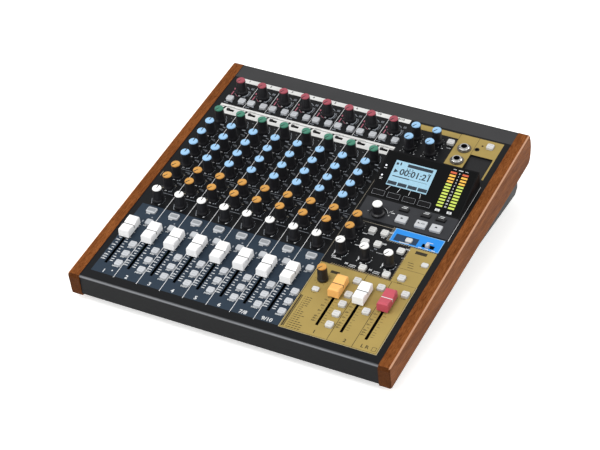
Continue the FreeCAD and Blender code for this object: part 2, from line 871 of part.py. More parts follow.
def display_housing():
    shell = prism(
        [
            (housing_front, 0),
            (housing_front, shelf_front_height),
            (housing_break, shelf_rear_height),
            (housing_rear, housing_height),
            (housing_rear, 0),
        ],
        housing_x0,
        housing_x1,
    )
    inset = housing_plug_inset
    plug = under_housing(inset, -housing_plug, 0.01)
    wall = housing_wall
    rise = (housing_height - shelf_rear_height) / (housing_rear - housing_break)
    shell_inner_y = housing_rear - inset - wall
    hollow = prism(
        [
            (housing_break + wall, -housing_plug - 1),
            (housing_break + wall, shelf_rear_height - wall),
            (shell_inner_y, shelf_rear_height + (shell_inner_y - housing_break) * rise - 1.3 * wall),
            (shell_inner_y, -housing_plug - 1),
        ],
        housing_x0 + inset + wall,
        housing_x1 - inset - wall,
    )
    body = fused([shell.fuse(plug).cut(hollow)] + display_ledges())
    recess = on_slope(window_outline(window_margin, -window_thickness, 3.0))
    opening = on_slope(window_outline(window_margin + window_rim, -6.0, 3.0))
    cuts = [recess, opening]
    for x, y, (width, length) in transport_places + mode_places:
        cuts.append(soft_block(x, y, width + 2 * gap, length + 2 * gap, -housing_plug - 1, 8, key_corner))
    radius = encoder_dish_radius
    dish = spun([(0, -5), (4.0, -5), (4.0, 0), (radius, 0), (radius, 9), (0, 9)], 0, 0)
    dish_z = shelf_z(encoder_row) - encoder_dish_depth
    cuts.append(moved(dish, encoder_x, encoder_row, dish_z))
    return tilted(body.cut(Part.makeCompound(cuts)))


def display_ledges():
    """Four ledges on the housing's side walls, which the display board is screwed up to."""
    width, length, height = ledge
    inset = housing_plug_inset + housing_wall
    shapes = []
    for row in ledge_rows:
        for x0, x1 in (
            (housing_x0 + inset - 0.5, housing_x0 + inset + width),
            (housing_x1 - inset - width, housing_x1 - inset + 0.5),
        ):
            z0 = -display_board_depth
            shapes.append(on_slope(box(x0, x1, row - length / 2, row + length / 2, z0, z0 + height)))
    return shapes


def display_window():
    """The smoked window in the housing's recess, with openings for the four function keys."""
    plate = window_outline(window_margin + fit_gap, -window_thickness, 0.0)
    width, length = (side + 2 * gap for side in function_key)
    openings = [soft_block(x, function_key_row, width, length, -3, 1, key_corner) for x in function_places]
    return on_display(plate.cut(Part.makeCompound(openings)))


def display_board():
    margin = housing_plug_inset + housing_wall + gap
    top = -display_board_depth
    rear = display_board_rear()
    board = box(housing_x0 + margin, housing_x1 - margin, margin, rear, top - board_thickness, top)
    return on_display(board)


def display_board_rear():
    """Where the display board stops, up the slope, short of the housing's rear wall."""
    wall_y = housing_rear - housing_plug_inset - housing_wall - gap - housing_break
    drop = display_board_depth + board_thickness
    angle = math.radians(slope_angle)
    return (wall_y - drop * math.sin(angle)) / math.cos(angle)


def lcd_module():
    width, length, thickness = lcd_size
    x, y = lcd_place
    z0 = -display_board_depth
    return on_display(block(housing_x0 + x, y, width, length, z0, z0 + thickness))


def meter_leds():
    """Two columns of light bars and two round lights on the display board, and the panel's pin light."""
    width, length, height = meter_bar
    z0 = -display_board_depth
    shapes = []
    for x in meter_columns:
        for k in range(meter_segments):
            y = meter_start + k * meter_pitch
            shapes.append(on_display(block(housing_x0 + x, y, width, length, z0, z0 + height)))
    for x, y in light_places:
        shapes.append(on_display(peg(housing_x0 + x, y, light_radius, z0, z0 + height)))
    shapes.append(tilted(peg(*pin_light_place, light_radius, control_board_top, 0.2)))
    return shapes


def ring(x, y, outer, inner, z0, z1):
    return peg(x, y, outer, z0, z1).cut(peg(x, y, inner, z0 - 1, z1 + 1))


def phones_jacks():
    """Two jacks under the panel, each with its washer and nut on top."""
    shapes = []
    for y in phones_jack_rows:
        x = phones_jack_x
        body = block(x, y, jack_body, jack_body, -sheet - jack_depth, -sheet)
        bushing = peg(x, y, bushing_radius, -sheet - 1, bushing_top)
        bore = peg(x, y, jack_bore, -sheet - jack_depth + 1.5, bushing_top + 1)
        shapes.append(tilted(body.fuse(bushing).cut(bore)))
        inner = bushing_radius + fit_gap
        shapes.append(tilted(ring(x, y, washer_radius, inner, 0, washer_height)))
        nut_top = washer_height + nut_height
        nut = [
            (inner, washer_height),
            (nut_radius, washer_height),
            (nut_radius, nut_top - nut_chamfer),
            (nut_radius - nut_chamfer, nut_top),
            (inner, nut_top),
        ]
        shapes.append(tilted(spun(nut, x, y)))
    return shapes


def rear_peg(x, z, radius, depth0, depth1):
    """A round bar square to the rear panel, between two depths in from its outer face."""
    return Part.makeCylinder(radius, depth1 - depth0, V(x, panel_length - depth0, z), V(0, -1, 0))


def rear_block(x, z, width, height, depth0, depth1):
    y = panel_length
    return box(x - width / 2, x + width / 2, y - depth1, y - depth0, z - height / 2, z + height / 2)


def combo_inputs():
    """Combined input sockets: a round face with a jack bore and three pin holes, on a square body."""
    shapes = []
    back = sheet + socket_depth
    for x in columns:
        z = -input_drop
        body = rear_block(x, z, input_body, input_body, sheet, back)
        face = rear_peg(x, z, input_radius, 0.0, sheet + 1)
        groove = rear_peg(x, z, ring_radius, -1, 6.0).cut(rear_peg(x, z, ring_radius - ring_depth, -2, 7.0))
        bore = rear_peg(x, z, jack_bore, -1, back - 4.0)
        pins = []
        for turn in (90, 210, 330):
            px = x + 5.8 * math.cos(math.radians(turn))
            pz = z + 5.8 * math.sin(math.radians(turn))
            pins.append(rear_peg(px, pz, 1.3, -1, 10.0))
        shapes.append(tilted(body.fuse(face).cut(Part.makeCompound([groove, bore] + pins))))
    return shapes


def line_jacks():
    """Line jacks along the top of the rear panel, each with its nut."""
    shapes = []
    back = sheet + socket_depth
    for x in line_columns():
        z = -line_drop
        body = rear_block(x, z, jack_body, jack_body, sheet, back)
        bushing = rear_peg(x, z, bushing_radius, -2.4, sheet + 1)
        bore = rear_peg(x, z, jack_bore, -4, back - 4.0)
        shapes.append(tilted(body.fuse(bushing).cut(bore)))
        nut = rear_peg(x, z, nut_radius, -1.6, 0).cut(rear_peg(x, z, bushing_radius + fit_gap, -2, 1))
        shapes.append(tilted(nut))
    return shapes


def small_sockets():
    """The headset jack on the panel, and the data socket, power inlet and rocker frame behind."""
    x, y = headset_place
    headset = block(x, y, 6.0, 8.0, -sheet - 11, -sheet).fuse(peg(x, y, headset_bushing, -sheet - 1, 0.4))
    headset = headset.cut(peg(x, y, headset_bore, -sheet - 9.5, 2))
    back = sheet + socket_depth
    z = -power_drop
    usb_x, inlet_x, rocker_x = (masters[0] + offset for offset in (usb_offset, inlet_offset, rocker_offset))
    usb = rear_block(usb_x, z, *usb_shell, 0, back).cut(rear_block(usb_x, z, *usb_mouth, -1, 8.0))
    inlet = rear_block(inlet_x, z, 12.0, 12.0, sheet, back)
    inlet = inlet.fuse(rear_peg(inlet_x, z, inlet_radius, 0, sheet + 1))
    inlet = inlet.cut(rear_peg(inlet_x, z, inlet_bore, -1, 12.0))
    inlet = inlet.fuse(rear_peg(inlet_x, z, inlet_pin, 2.0, 13.0))
    width, height, depth = rocker_frame
    frame = rear_block(rocker_x, z, width, height, 0, back)
    frame = frame.cut(rear_block(rocker_x, z, rocker[0] + 2 * gap, rocker[1] + 1.4, -1, depth))
    pivot = V(rocker_x - rocker[0] / 2 - 1.5, panel_length - rocker_pivot_depth, z)
    frame = frame.cut(Part.makeCylinder(rocker_pin + fit_gap, rocker[0] + 3.0, pivot, V(1, 0, 0)))
    return [tilted(solid) for solid in (headset, usb, inlet, frame)]


def power_rocker():
    """The rocker at its off stop, on a pin across its frame."""
    x = masters[0] + rocker_offset
    z = -power_drop
    centre = V(x, panel_length - rocker_pivot_depth, z)
    width, height, depth = rocker
    body = rear_block(x, z, width, height, -0.6, depth - 0.6)
    pin = Part.makeCylinder(rocker_pin, width + 2.0, V(x - width / 2 - 1.0, centre.y, z), V(1, 0, 0))
    rocking = fused([body, pin])
    rocking.rotate(centre, V(1, 0, 0), -rocker_angle)
    return tilted(rocking)


def card_bay():
    """A bay with a sloping floor that leads a card into the reader below the display housing."""
    outer = bay_half + bay_wall
    width, thickness = bay_rim
    back = bay_rear + bay_wall
    low, high = bay_middle - outer, bay_middle + outer
    rim = box(low - width, high + width, bay_front, back + width, -sheet - thickness, -sheet)
    body = box(low, high, bay_front, back, bay_floor, -sheet)
    tongue = box(low, high, bay_front - reader_length, bay_front, bay_floor, bay_floor + sheet)
    ramp = prism(
        [
            (bay_rear, 1.0),
            (bay_rear, -sheet - bay_ramp_drop),
            (bay_front, card_floor),
            (bay_front - 1.0, card_floor),
            (bay_front - 1.0, 1.0),
        ],
        bay_middle - bay_half,
        bay_middle + bay_half,
    )
    return tilted(fused([rim, body, tongue]).cut(ramp))


def card_reader():
    outer = bay_half + reader_wall
    back = bay_front - gap
    front = bay_front - reader_length
    slot_top = card_floor + card_thickness + gap
    low, high = bay_middle - outer, bay_middle + outer
    shell = box(low, high, front, back, bay_floor + sheet, slot_top + reader_wall)
    low, high = bay_middle - bay_half, bay_middle + bay_half
    slot = box(low, high, front + 3.0, back + 1.0, card_floor, slot_top)
    return tilted(shell.cut(slot))


def export(name, shapes):
    """Writes one node, a solid or a group of separate solids."""
    if isinstance(shapes, list):
        shapes = Part.makeCompound(shapes)
    shapes.exportStep(f"parts/{name}.step")


os.makedirs("parts", exist_ok=True)

# Case
export("bottom_tray", bottom_tray())
export("top_panel", top_panel())
export("rear_panel", rear_panel())
export("left_cheek", cheek(-1))
export("right_cheek", cheek(1))
export("case_screws", case_screws())
export("feet", feet())

# Boards and what they carry
export("control_board", control_board())
export("main_board", main_board())
export("jack_board", jack_board())
export("board_pillars", board_pillars())
export("fader_bodies", [tilted(fader_body(x)) for x in fader_columns])
export("pot_bodies", pot_bodies())
export("switch_bodies", switch_bodies())

# Sockets
export("combo_inputs", combo_inputs())
export("line_jacks", line_jacks())
export("phones_jacks", phones_jacks())
export("small_sockets", small_sockets())
export("card_bay", card_bay())
export("card_reader", card_reader())
export("power_rocker", power_rocker())

# Display
export("display_housing", display_housing())
export("display_window", display_window())
export("display_board", display_board())
export("lcd_module", lcd_module())
export("meter_leds", meter_leds())
export("function_keys", function_keys())
export("mode_keys", [housing_key(*place) for place in mode_places])
for name, place in zip(("stop_key", "play_key", "record_key"), transport_places):
    export(name, housing_key(*place))
export("encoder_knob", encoder_knob())

# Knobs: the first channel's are one node each, the others are groups
channel_knob_names = ["gain_knob", "comp_knob", "high_knob", "mid_frequency_knob", "mid_knob", "low_knob"]
channel_knob_names += ["first_aux_knob", "second_aux_knob", "pan_knob"]
for name, row in zip(channel_knob_names, channel_knob_rows):
    export(name, placed_knobs([(columns[0], row)]))
export("channel_knobs", placed_knobs([(x, y) for x in columns[1:] for y in channel_knob_rows]))
export("master_knobs", placed_knobs(phones_knobs + master_knobs))

# Buttons and switches
export("input_buttons", buttons(input_button_places))
export("assign_buttons", buttons(assign_button_places))
export("fader_buttons", buttons(fader_button_places))
export("master_buttons", buttons(master_button_places))
export("channel_switches", channel_switches())
export("patch_switch", patch_switch())

# Faders: one for each channel, then three masters
fader_names = [f"fader_{k + 1}" for k in range(channel_count)] + [f"master_fader_{k + 1}" for k in range(3)]
for name, x in zip(fader_names, fader_columns):
    export(name, fader(x))
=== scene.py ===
import functools
from math import atan2, cos, degrees, hypot, pi, radians, sin

import bpy
from mathutils import Euler, Matrix, Vector


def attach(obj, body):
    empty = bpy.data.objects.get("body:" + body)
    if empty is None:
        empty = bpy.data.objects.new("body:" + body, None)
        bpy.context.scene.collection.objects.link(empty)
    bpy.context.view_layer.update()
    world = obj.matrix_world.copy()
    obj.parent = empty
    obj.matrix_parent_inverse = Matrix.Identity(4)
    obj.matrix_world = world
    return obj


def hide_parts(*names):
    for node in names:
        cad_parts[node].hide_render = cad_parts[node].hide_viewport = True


# The looks of a desktop recording mixer. Layout sizes are in millimetres on the panel: x to the right
# from its middle, y up the slope from its front top edge. Angles of knobs run clockwise from the rear.

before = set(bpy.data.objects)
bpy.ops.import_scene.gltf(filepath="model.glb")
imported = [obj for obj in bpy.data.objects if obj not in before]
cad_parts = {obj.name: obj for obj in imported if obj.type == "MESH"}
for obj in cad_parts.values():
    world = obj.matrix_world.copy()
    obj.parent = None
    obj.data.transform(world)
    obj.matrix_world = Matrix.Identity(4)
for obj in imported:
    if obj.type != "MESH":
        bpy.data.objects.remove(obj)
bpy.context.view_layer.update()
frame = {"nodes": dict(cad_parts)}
nodes = frame["nodes"]

TILT = radians(8.7)
ORIGIN = (0.0, -179.25, 34.5)
PANEL_LENGTH = 352.15
SHELF_FRONT = 178.0
DISPLAY_FRONT = 207.0
PANEL = Matrix.Scale(0.001, 4) @ Matrix.Translation(ORIGIN) @ Matrix.Rotation(TILT, 4, "X")


def raised(surface, height):
    """A surface moved off itself."""
    return surface @ Matrix.Translation((0, 0, height))


def slope(front, height, rise, run):
    """A face of the display housing, from its front edge over the panel and its slope."""
    return PANEL @ Matrix.Translation((0, front, height)) @ Matrix.Rotation(atan2(rise, run), 4, "X")


SHELF = slope(SHELF_FRONT, 0.4, 2.6, 29.0)
DISPLAY = slope(DISPLAY_FRONT, 3.0, 17.0, 54.5)
REAR_TURN = Matrix.Rotation(pi, 4, "Z") @ Matrix.Rotation(pi / 2, 4, "X")
REAR = PANEL @ Matrix.Translation((0, PANEL_LENGTH, 0)) @ REAR_TURN

PITCH = 25.4
COLUMNS = [-139.05 + PITCH * k for k in range(8)]
MASTERS = [64.15 + PITCH * k for k in range(3)]
DIVIDERS = [-126.55 + PITCH * k for k in range(7)]
FADERS = [x - 5.2 for x in COLUMNS] + [x + 20.2 for x in MASTERS]
FADER_ROW = 75.3
GAIN_ROW = 311.2
COMP_ROW = 260.7
EQ_ROWS = [239.5, 221.45, 203.4, 185.35]
AUX_ROWS = [165.0, 146.95]
PAN_ROW = 125.2
CHANNEL_ROWS = [GAIN_ROW, COMP_ROW] + EQ_ROWS + AUX_ROWS + [PAN_ROW]
LEVEL_ROW = 83.5
PHONES_ROWS = [310.3, 291.5]
PHONES_COLUMNS = [64.15, 87.25]
JACK_X = 116.6
JACK_ROWS = [311.4, 291.5]
ENCODER = (75.45, 187.4)
HOUSING_X = 55.45
INPUT_BUTTON_ROW = 296.9
FADER_BUTTON_ROWS = [29.0 + 14.25 * k for k in range(3)]

# Heights over the panel, or over the housing's shelf for its keys
CAP_TOP = 17.6
CAP_THICKNESS = 1.02
CAP_RADIUS = 4.5
ENCODER_CAP = 14.1
CARRIAGE_TOP = -12.0
FADER_CAP_BOTTOM = 1.95
BUTTON_TOP = 2.6
FLAT_BUTTON_TOP = 1.6
KEY_TOP = 2.0


def link(thing):
    bpy.context.scene.collection.objects.link(thing)


# Camera

def add_camera():
    """A long lens at the photograph's place, found from points seen in it."""
    camera = bpy.data.objects.new("camera", bpy.data.cameras.new("camera"))
    camera.data.lens = 117.98
    camera.data.sensor_width = 36.0
    turn = Euler([radians(a) for a in (47.5818, 3.8130, 25.7696)], "XYZ").to_matrix().to_4x4()
    place = Vector((712.134, -1108.890, 1307.775))
    camera.matrix_world = (PANEL @ Matrix.Translation(place)).normalized() @ turn
    link(camera)
    bpy.context.scene.camera = camera


add_camera()


# Colours

def linear(value):
    """A colour written as #rrggbb, in the values that a shader takes. Anything else is left as it is."""
    if not isinstance(value, str):
        return value
    values = [int(value[i:i + 2], 16) / 255 for i in (1, 3, 5)]
    return [v / 12.92 if v <= 0.04045 else ((v + 0.055) / 1.055) ** 2.4 for v in values] + [1.0]


BLACK = "#161618"
BODY = "#1f1f22"
COATING = "#131416"
SLATE = "#2b3744"
# The grey of the painted reflection on the panel's rear strip
REAR_SHEEN_GREY = "#3c3c3d"
GOLD = "#a58f53"
PATCH = "#2f8be0"
PATCH_DARK = "#2a3f57"
PALE = "#dcdcda"
# The pale grey of the painted highlight along the panel's front bend
BEND_HIGHLIGHT_GREY = "#85878b"
STEEL = "#b9bcc0"
CAPS = {
    "red": "#9e4754",
    "green": "#3c7e68",
    "blue": "#98c3e6",
    "orange": "#cb9445",
    "white": "#f4f4f2",
}


class Nodes:
    """A node tree with short ways to add to it."""

    def __init__(self, tree, shader):
        self.tree = tree
        self.shader = next(node for node in tree.nodes if node.type == shader)

    def node(self, kind, inputs=(), **settings):
        """A node with its settings, and its inputs given as (index or name, value or socket)."""
        node = self.tree.nodes.new("ShaderNode" + kind)
        for key, value in settings.items():
            setattr(node, key, value)
        for key, value in inputs:
            self.feed(node.inputs[key], value)
        return node

    def feed(self, socket, value):
        if isinstance(value, bpy.types.NodeSocket):
            self.tree.links.new(value, socket)
        else:
            socket.default_value = linear(value)

    def give(self, name, value):
        """Sets one of the shader's own inputs."""
        self.feed(self.shader.inputs[name], value)

    def math(self, operation, first, second=0.0):
        return self.node("Math", [(0, first), (1, second)], operation=operation).outputs[0]

    def over(self, first, second):
        """1 where the first is the greater, and 0 elsewhere."""
        return self.math("GREATER_THAN", first, second)

    def between(self, value, low, high):
        """A value from 0 to 1, spread over another range."""
        inputs = [("Value", value), ("To Min", low), ("To Max", high)]
        return self.node("MapRange", inputs).outputs[0]


class Finish(Nodes):
    """A node material around one shader, with ways to add detail to it."""

    def __init__(self, name, rough, metallic=0.0, gloss=0.2, extra=()):
        self.material = bpy.data.materials.new(name)
        self.material.use_nodes = True
        super().__init__(self.material.node_tree, "BSDF_PRINCIPLED")
        plain = [("Roughness", rough), ("Metallic", metallic), ("Specular IOR Level", gloss)]
        for socket, value in plain + list(extra):
            self.give(socket, value)
        self.place = self.node("TexCoord").outputs["Object"]

    def vector(self, operation, first, second=(0, 0, 0)):
        return self.node("VectorMath", [(0, first), (1, second)], operation=operation).outputs[0]

    def panel_place(self):
        """The place of a shaded point in millimetres on the panel."""
        shift = -(Matrix.Rotation(-TILT, 3, "X") @ Vector(ORIGIN))
        inputs = [("Vector", self.place), ("Location", shift)]
        inputs += [("Rotation", (-TILT, 0, 0)), ("Scale", (1000, 1000, 1000))]
        return self.node("Mapping", inputs).outputs[0]

    def axes(self, place):
        return self.node("SeparateXYZ", [(0, place)]).outputs

    def panel_axis(self, axis):
        """How far a shaded point is across the panel (X), along it (Y) or off it (Z)."""
        return self.axes(self.panel_place())[axis]

    def stretched(self, factors):
        return self.vector("MULTIPLY", self.place, factors)

    def noise(self, scale, detail=3.0, place=None):
        inputs = [("Vector", place or self.place), ("Scale", scale), ("Detail", detail)]
        return self.node("TexNoise", inputs).outputs[0]

    def ramp(self, factor, stops, steps=False):
        """A colour ramp from (position, colour) stops."""
        node = self.node("ValToRGB", [(0, factor)])
        if steps:
            node.color_ramp.interpolation = "CONSTANT"
        elements = node.color_ramp.elements
        while len(elements) < len(stops):
            elements.new(0.5)
        for element, (position, colour) in zip(elements, stops):
            element.position = position
            element.color = linear(colour)
        return node.outputs[0]

    def mix(self, factor, first, second, blend="MIX"):
        inputs = [(0, factor), (6, first), (7, second)]
        return self.node("Mix", inputs, data_type="RGBA", blend_type=blend).outputs[2]

    def inside(self, place, box):
        """1 where the place is within the box (x0, x1, y0, y1), and 0 elsewhere."""
        x0, x1, y0, y1 = box
        centre = ((x0 + x1) / 2, (y0 + y1) / 2, 0)
        half = ((x1 - x0) / 2, (y1 - y0) / 2, 0)
        distance = self.vector("ABSOLUTE", self.vector("SUBTRACT", place, centre))
        past = self.axes(self.vector("SUBTRACT", distance, half))
        return self.math("LESS_THAN", self.math("MAXIMUM", past["X"], past["Y"]), 0.0)

    def colour(self, value, mottle=0.06, scale=40.0):
        """Sets the base colour, lightened and darkened a little by a soft mottle."""
        dark = [1.0 - mottle] * 3 + [1.0]
        light = [1.0 + mottle] * 3 + [1.0]
        shade = self.ramp(self.noise(scale), [(0.3, dark), (0.7, light)])
        self.give("Base Color", self.mix(1.0, value, shade, "MULTIPLY"))
        return self

    def roughness(self, low, high, scale=90.0):
        """Lets the roughness wander between two values, as handled surfaces do."""
        self.give("Roughness", self.between(self.noise(scale, 4.0), low, high))
        return self

    def bump(self, height, strength, distance=0.0001):
        inputs = [("Height", height), ("Strength", strength), ("Distance", distance)]
        self.give("Normal", self.node("Bump", inputs).outputs[0])
        return self

    def grain(self, scale, strength=0.2, detail=2.0):
        """The finest relief of a moulded or painted surface."""
        return self.bump(self.noise(scale, detail), strength, 0.00005)

    def turned(self, stretch):
        """Fine lines of turning, drawn out along the axes that are stretched least."""
        return self.bump(self.noise(3000.0, 2.0, self.stretched(stretch)), 0.15, 0.00005)


def plastic(name, colour, low, high, grain=2400.0, gloss=0.25):
    """Moulded plastic with a fine spark-eroded grain."""
    finish = Finish(name, high, gloss=gloss)
    return finish.colour(colour).roughness(low, high).grain(grain, 0.25)


def powder(finish):
    """The fine orange peel of powder coating."""
    return finish.grain(1500.0, 0.3, 3.0)


def metal(name, colour, rough, stretch):
    """Turned or brushed metal."""
    finish = Finish(name, rough, 1.0).colour(colour, 0.08, 200.0)
    return finish.roughness(rough * 0.7, rough * 1.3, 400.0).turned(stretch)


def glow(name, colour, strength, spots=900.0):
    """A lit plastic face with a fine diffusing grain."""
    finish = Finish(name, 0.35, extra=[("Emission Color", colour), ("Emission Strength", strength)])
    return finish.colour(colour, 0.1, spots).grain(spots, 0.1)


def wood():
    """Oiled wood with its grain along the cheek, a painted highlight along its bevelled top edge and
    painted shade on the faces at its front end.
    """
    finish = Finish("wood", 0.5, gloss=0.03)
    warped = finish.vector("ADD", finish.place, finish.stretched((0.0, 0.02, 0.0)))
    broad = finish.noise(9.0, 4.0, finish.vector("MULTIPLY", warped, (9.0, 0.9, 9.0)))
    fine = finish.noise(60.0, 5.0, finish.vector("MULTIPLY", warped, (14.0, 0.55, 14.0)))
    pores = finish.noise(300.0, 2.0, finish.stretched((6.0, 0.35, 6.0)))
    tone = finish.ramp(broad, [(0.3, "#643516"), (0.5, "#7d4722"), (0.72, "#93572c")])
    tone = finish.mix(0.4, tone, finish.ramp(fine, [(0.35, "#5a3014"), (0.65, "#9a6034")]))
    pore_mask = finish.ramp(pores, [(0.36, (0.6, 0.54, 0.5, 1)), (0.46, (1, 1, 1, 1))])
    tone = finish.mix(1.0, tone, pore_mask, "MULTIPLY")
    # Painted shade: faces turned towards the front are darkened, standing in for the shade they fall in
    facing = finish.axes(finish.node("TexCoord").outputs["Normal"])["Y"]
    shaded_front = finish.math("LESS_THAN", facing, -0.6)
    tone = finish.mix(shaded_front, tone, finish.mix(1.0, tone, (0.42, 0.4, 0.38, 1), "MULTIPLY"))
    # Painted highlight: a pale line along the cheek's bevelled top edge, standing in for light caught on
    # that edge
    across = finish.panel_axis("X")
    off = finish.panel_axis("Z")
    edge_highlight = finish.over(finish.math("ABSOLUTE", across), CHEEK_EDGE[0])
    edge_highlight = finish.math("MULTIPLY", edge_highlight, finish.over(off, CHEEK_EDGE[1]))
    finish.give("Base Color", finish.mix(edge_highlight, tone, "#c99a7c"))
    finish.roughness(0.42, 0.58, 60.0)
    return finish.bump(finish.mix(0.5, pores, fine), 0.35, 0.00015)


# Where the painted highlight on the cheeks' top edge begins: across the panel and off it, in millimetres
CHEEK_EDGE = (170.2, -0.7)


def panel_paint():
    """The top panel's paint: near-black, with its slate, gold, blue and white printed areas, a grey rear
    strip that is a painted reflection, and a painted highlight along its front bend.
    """
    finish = Finish("panel_paint", 0.4, gloss=0.1)
    place = finish.panel_place()
    across, along, off = finish.axes(place)
    # Painted reflection: the panel's rear strip is painted grey, standing in for light reflected there at a
    # grazing angle
    colour = finish.mix(finish.inside(place, REAR_SHEEN_STRIP), COATING, REAR_SHEEN_GREY)
    for box, value in PRINTED_AREAS:
        colour = finish.mix(finish.inside(place, box), colour, value)
    slanted = finish.math("SUBTRACT", across, finish.math("MULTIPLY", along, SLANT))
    local = finish.math("MODULO", finish.math("ADD", slanted, 500.0), PITCH)
    from_gap = finish.math("ABSOLUTE", finish.math("SUBTRACT", local, SLANT_GAP))
    inked = finish.over(from_gap, SLANT_GAP_HALF)
    boxes = finish.math("MULTIPLY", inked, finish.inside(place, SLANTED_BOXES))
    colour = finish.mix(boxes, colour, PALE)
    top = finish.over(off, -0.5)
    colour = finish.mix(top, COATING, colour)
    # Painted highlight: the front bend is lightened towards a pale grey, standing in for a lamp's
    # reflection along it, and is also made less rough
    depth = finish.math("DIVIDE", finish.math("ABSOLUTE", finish.math("ADD", off, 1.5)), 1.3)
    bend_highlight = finish.math("MAXIMUM", finish.math("SUBTRACT", 1.0, depth), 0.0)
    bend_highlight = finish.math("MULTIPLY", bend_highlight, finish.math("LESS_THAN", along, 3.0))
    colour = finish.mix(bend_highlight, colour, BEND_HIGHLIGHT_GREY)
    finish.colour(colour, 0.05, 30.0)
    rough = finish.between(finish.noise(60.0, 4.0), 0.34, 0.46)
    rough = finish.math("SUBTRACT", rough, finish.math("MULTIPLY", bend_highlight, 0.2))
    finish.give("Roughness", rough)
    return powder(finish)


# Printed areas as (left, right, front, rear): the white boxes lean, with a gap between channels. The rear
# strip, in the same form, is no print but a painted reflection.
REAR_SHEEN_STRIP = (-160, 160, 334.5, 353.6)
SLANTED_BOXES = (-151.8, 49.8, 273.5, 284.1)
SLANT = 0.35
SLANT_GAP = 1.7
SLANT_GAP_HALF = 1.3
PRINTED_AREAS = [
    ((-152.6, 51.0, 11.8, 116.3), SLATE),
    ((51.5, 152.5, 11.1, 106.0), "#b5aa88"),
    ((51.9, 152.1, 11.5, 106.0), GOLD),
    ((125.0, 152.2, 106.0, 156.0), GOLD),
    ((60.5, 105.7, 323.7, 331.5), GOLD),
    ((105.7, 126.0, 264.0, 332.0), GOLD),
    ((126.0, 152.5, 305.5, 332.0), GOLD),
    ((150.4, 152.6, 272.6, 305.5), GOLD),
    ((100.5, 152.3, 157.6, 176.2), "#8fbce0"),
    ((101.1, 151.7, 158.2, 175.6), PATCH),
    ((104.0, 128.0, 159.4, 169.0), PATCH_DARK),
    ((-151.8, 50.0, 284.7, 288.0), PALE),
    ((-151.8, 48.5, 327.5, 333.8), PALE),
]


def capped(finish, colour, level):
    """A knob's black body under a cap of another colour."""
    off = finish.panel_axis("Z")
    colour = finish.mix(finish.over(off, level), BODY, colour)
    return finish.colour(colour, 0.04, 120.0).roughness(0.33, 0.45).grain(2500.0)


def knob_paint(name, high_blue=False):
    """A knob whose cap has the colour of its row on the panel."""
    finish = Finish(name, 0.4, gloss=0.35)
    along = finish.panel_axis("Y")
    share = finish.math("DIVIDE", along, RAMP_LENGTH)
    colour = finish.ramp(share, [(start, CAPS[key]) for start, key in CAP_ROWS], steps=True)
    if high_blue:
        colour = finish.mix(finish.over(along, PHONES_START), colour, CAPS["blue"])
    return capped(finish, colour, CAP_TOP - CAP_THICKNESS)


# Colour ramps over the panel's length take the place along it as a share of this length
RAMP_LENGTH = 400.0
CAP_ROWS = [
    (0.0, "orange"), (0.26, "white"), (0.34, "orange"), (0.44, "blue"), (0.625, "green"), (0.7, "red"),
]
PHONES_START = 280.0


def fader_paint(name, colour):
    """A fader's coloured cap on a steel tang and a black carriage."""
    finish = Finish(name, 0.35)
    off = finish.panel_axis("Z")
    over_carriage = finish.over(off, CARRIAGE_TOP)
    lower = finish.mix(over_carriage, BLACK, STEEL)
    value = finish.mix(finish.over(off, FADER_CAP_BOTTOM), lower, colour)
    is_tang = finish.math("MULTIPLY", finish.math("LESS_THAN", off, FADER_CAP_BOTTOM), over_carriage)
    finish.give("Metallic", is_tang)
    return finish.colour(value, 0.03, 80.0).roughness(0.3, 0.42).grain(2600.0)


def jack_paint():
    """Dark steel washers tinted bronze as a painted reflection of the gold print round them, bright nuts
    and black bodies of the phones jacks, with painted shade inside their bores.
    """
    finish = Finish("jack_paint", 0.25)
    place = finish.panel_place()
    off = finish.axes(place)["Z"]
    flat = finish.vector("MULTIPLY", place, (1, 1, 0))
    metal_part = finish.over(off, 0.01)
    # Painted shade: the metal inside each jack's bore is painted black and not metallic
    for row in JACK_ROWS:
        ends = [(0, flat), (1, (JACK_X, row, 0))]
        reach = finish.node("VectorMath", ends, operation="DISTANCE").outputs[1]
        metal_part = finish.math("MULTIPLY", metal_part, finish.over(reach, JACK_BORE))
    finish.give("Metallic", metal_part)
    nut = finish.over(off, JACK_WASHER)
    # Painted reflection: the washers are tinted bronze, standing in for the gold print they reflect
    colour = finish.mix(nut, "#6e675b", "#b9b8b6")
    colour = finish.mix(metal_part, BLACK, colour)
    return finish.colour(colour, 0.05, 200.0).roughness(0.12, 0.26, 300.0).turned((1, 1, 12))


JACK_BORE = 3.35
JACK_WASHER = 0.82


def housing_paint():
    """The display housing's moulded plastic, painted paler on its shelf as a sheen of light."""
    finish = Finish("housing_plastic", 0.42, gloss=0.08)
    along = finish.panel_axis("Y")
    # Painted sheen: the shelf is painted a paler grey than the rest of the housing, standing in for light
    # reflected from it
    shelf = finish.math("LESS_THAN", along, DISPLAY_FRONT - 0.2)
    finish.colour(finish.mix(shelf, "#0d0d0e", "#37383b")).roughness(0.36, 0.46)
    return finish.grain(2000.0, 0.25)


def board_paint():
    """Green solder mask over copper tracks, with bare pads."""
    finish = Finish("board_paint", 0.35)
    inputs = [("Vector", finish.stretched((1, 1, 0.2))), ("Scale", 260.0), ("Color1", "#0d4a2a"),
              ("Color2", "#0f5531"), ("Mortar", "#1a6b40"), ("Mortar Size", 0.03)]
    tracks = finish.node("TexBrick", inputs).outputs[0]
    pads = finish.node("TexVoronoi", [("Vector", finish.place), ("Scale", 220.0)]).outputs[0]
    colour = finish.mix(finish.math("LESS_THAN", pads, 0.16), tracks, "#b9a052")
    return finish.colour(colour, 0.05, 60.0).bump(pads, 0.15)


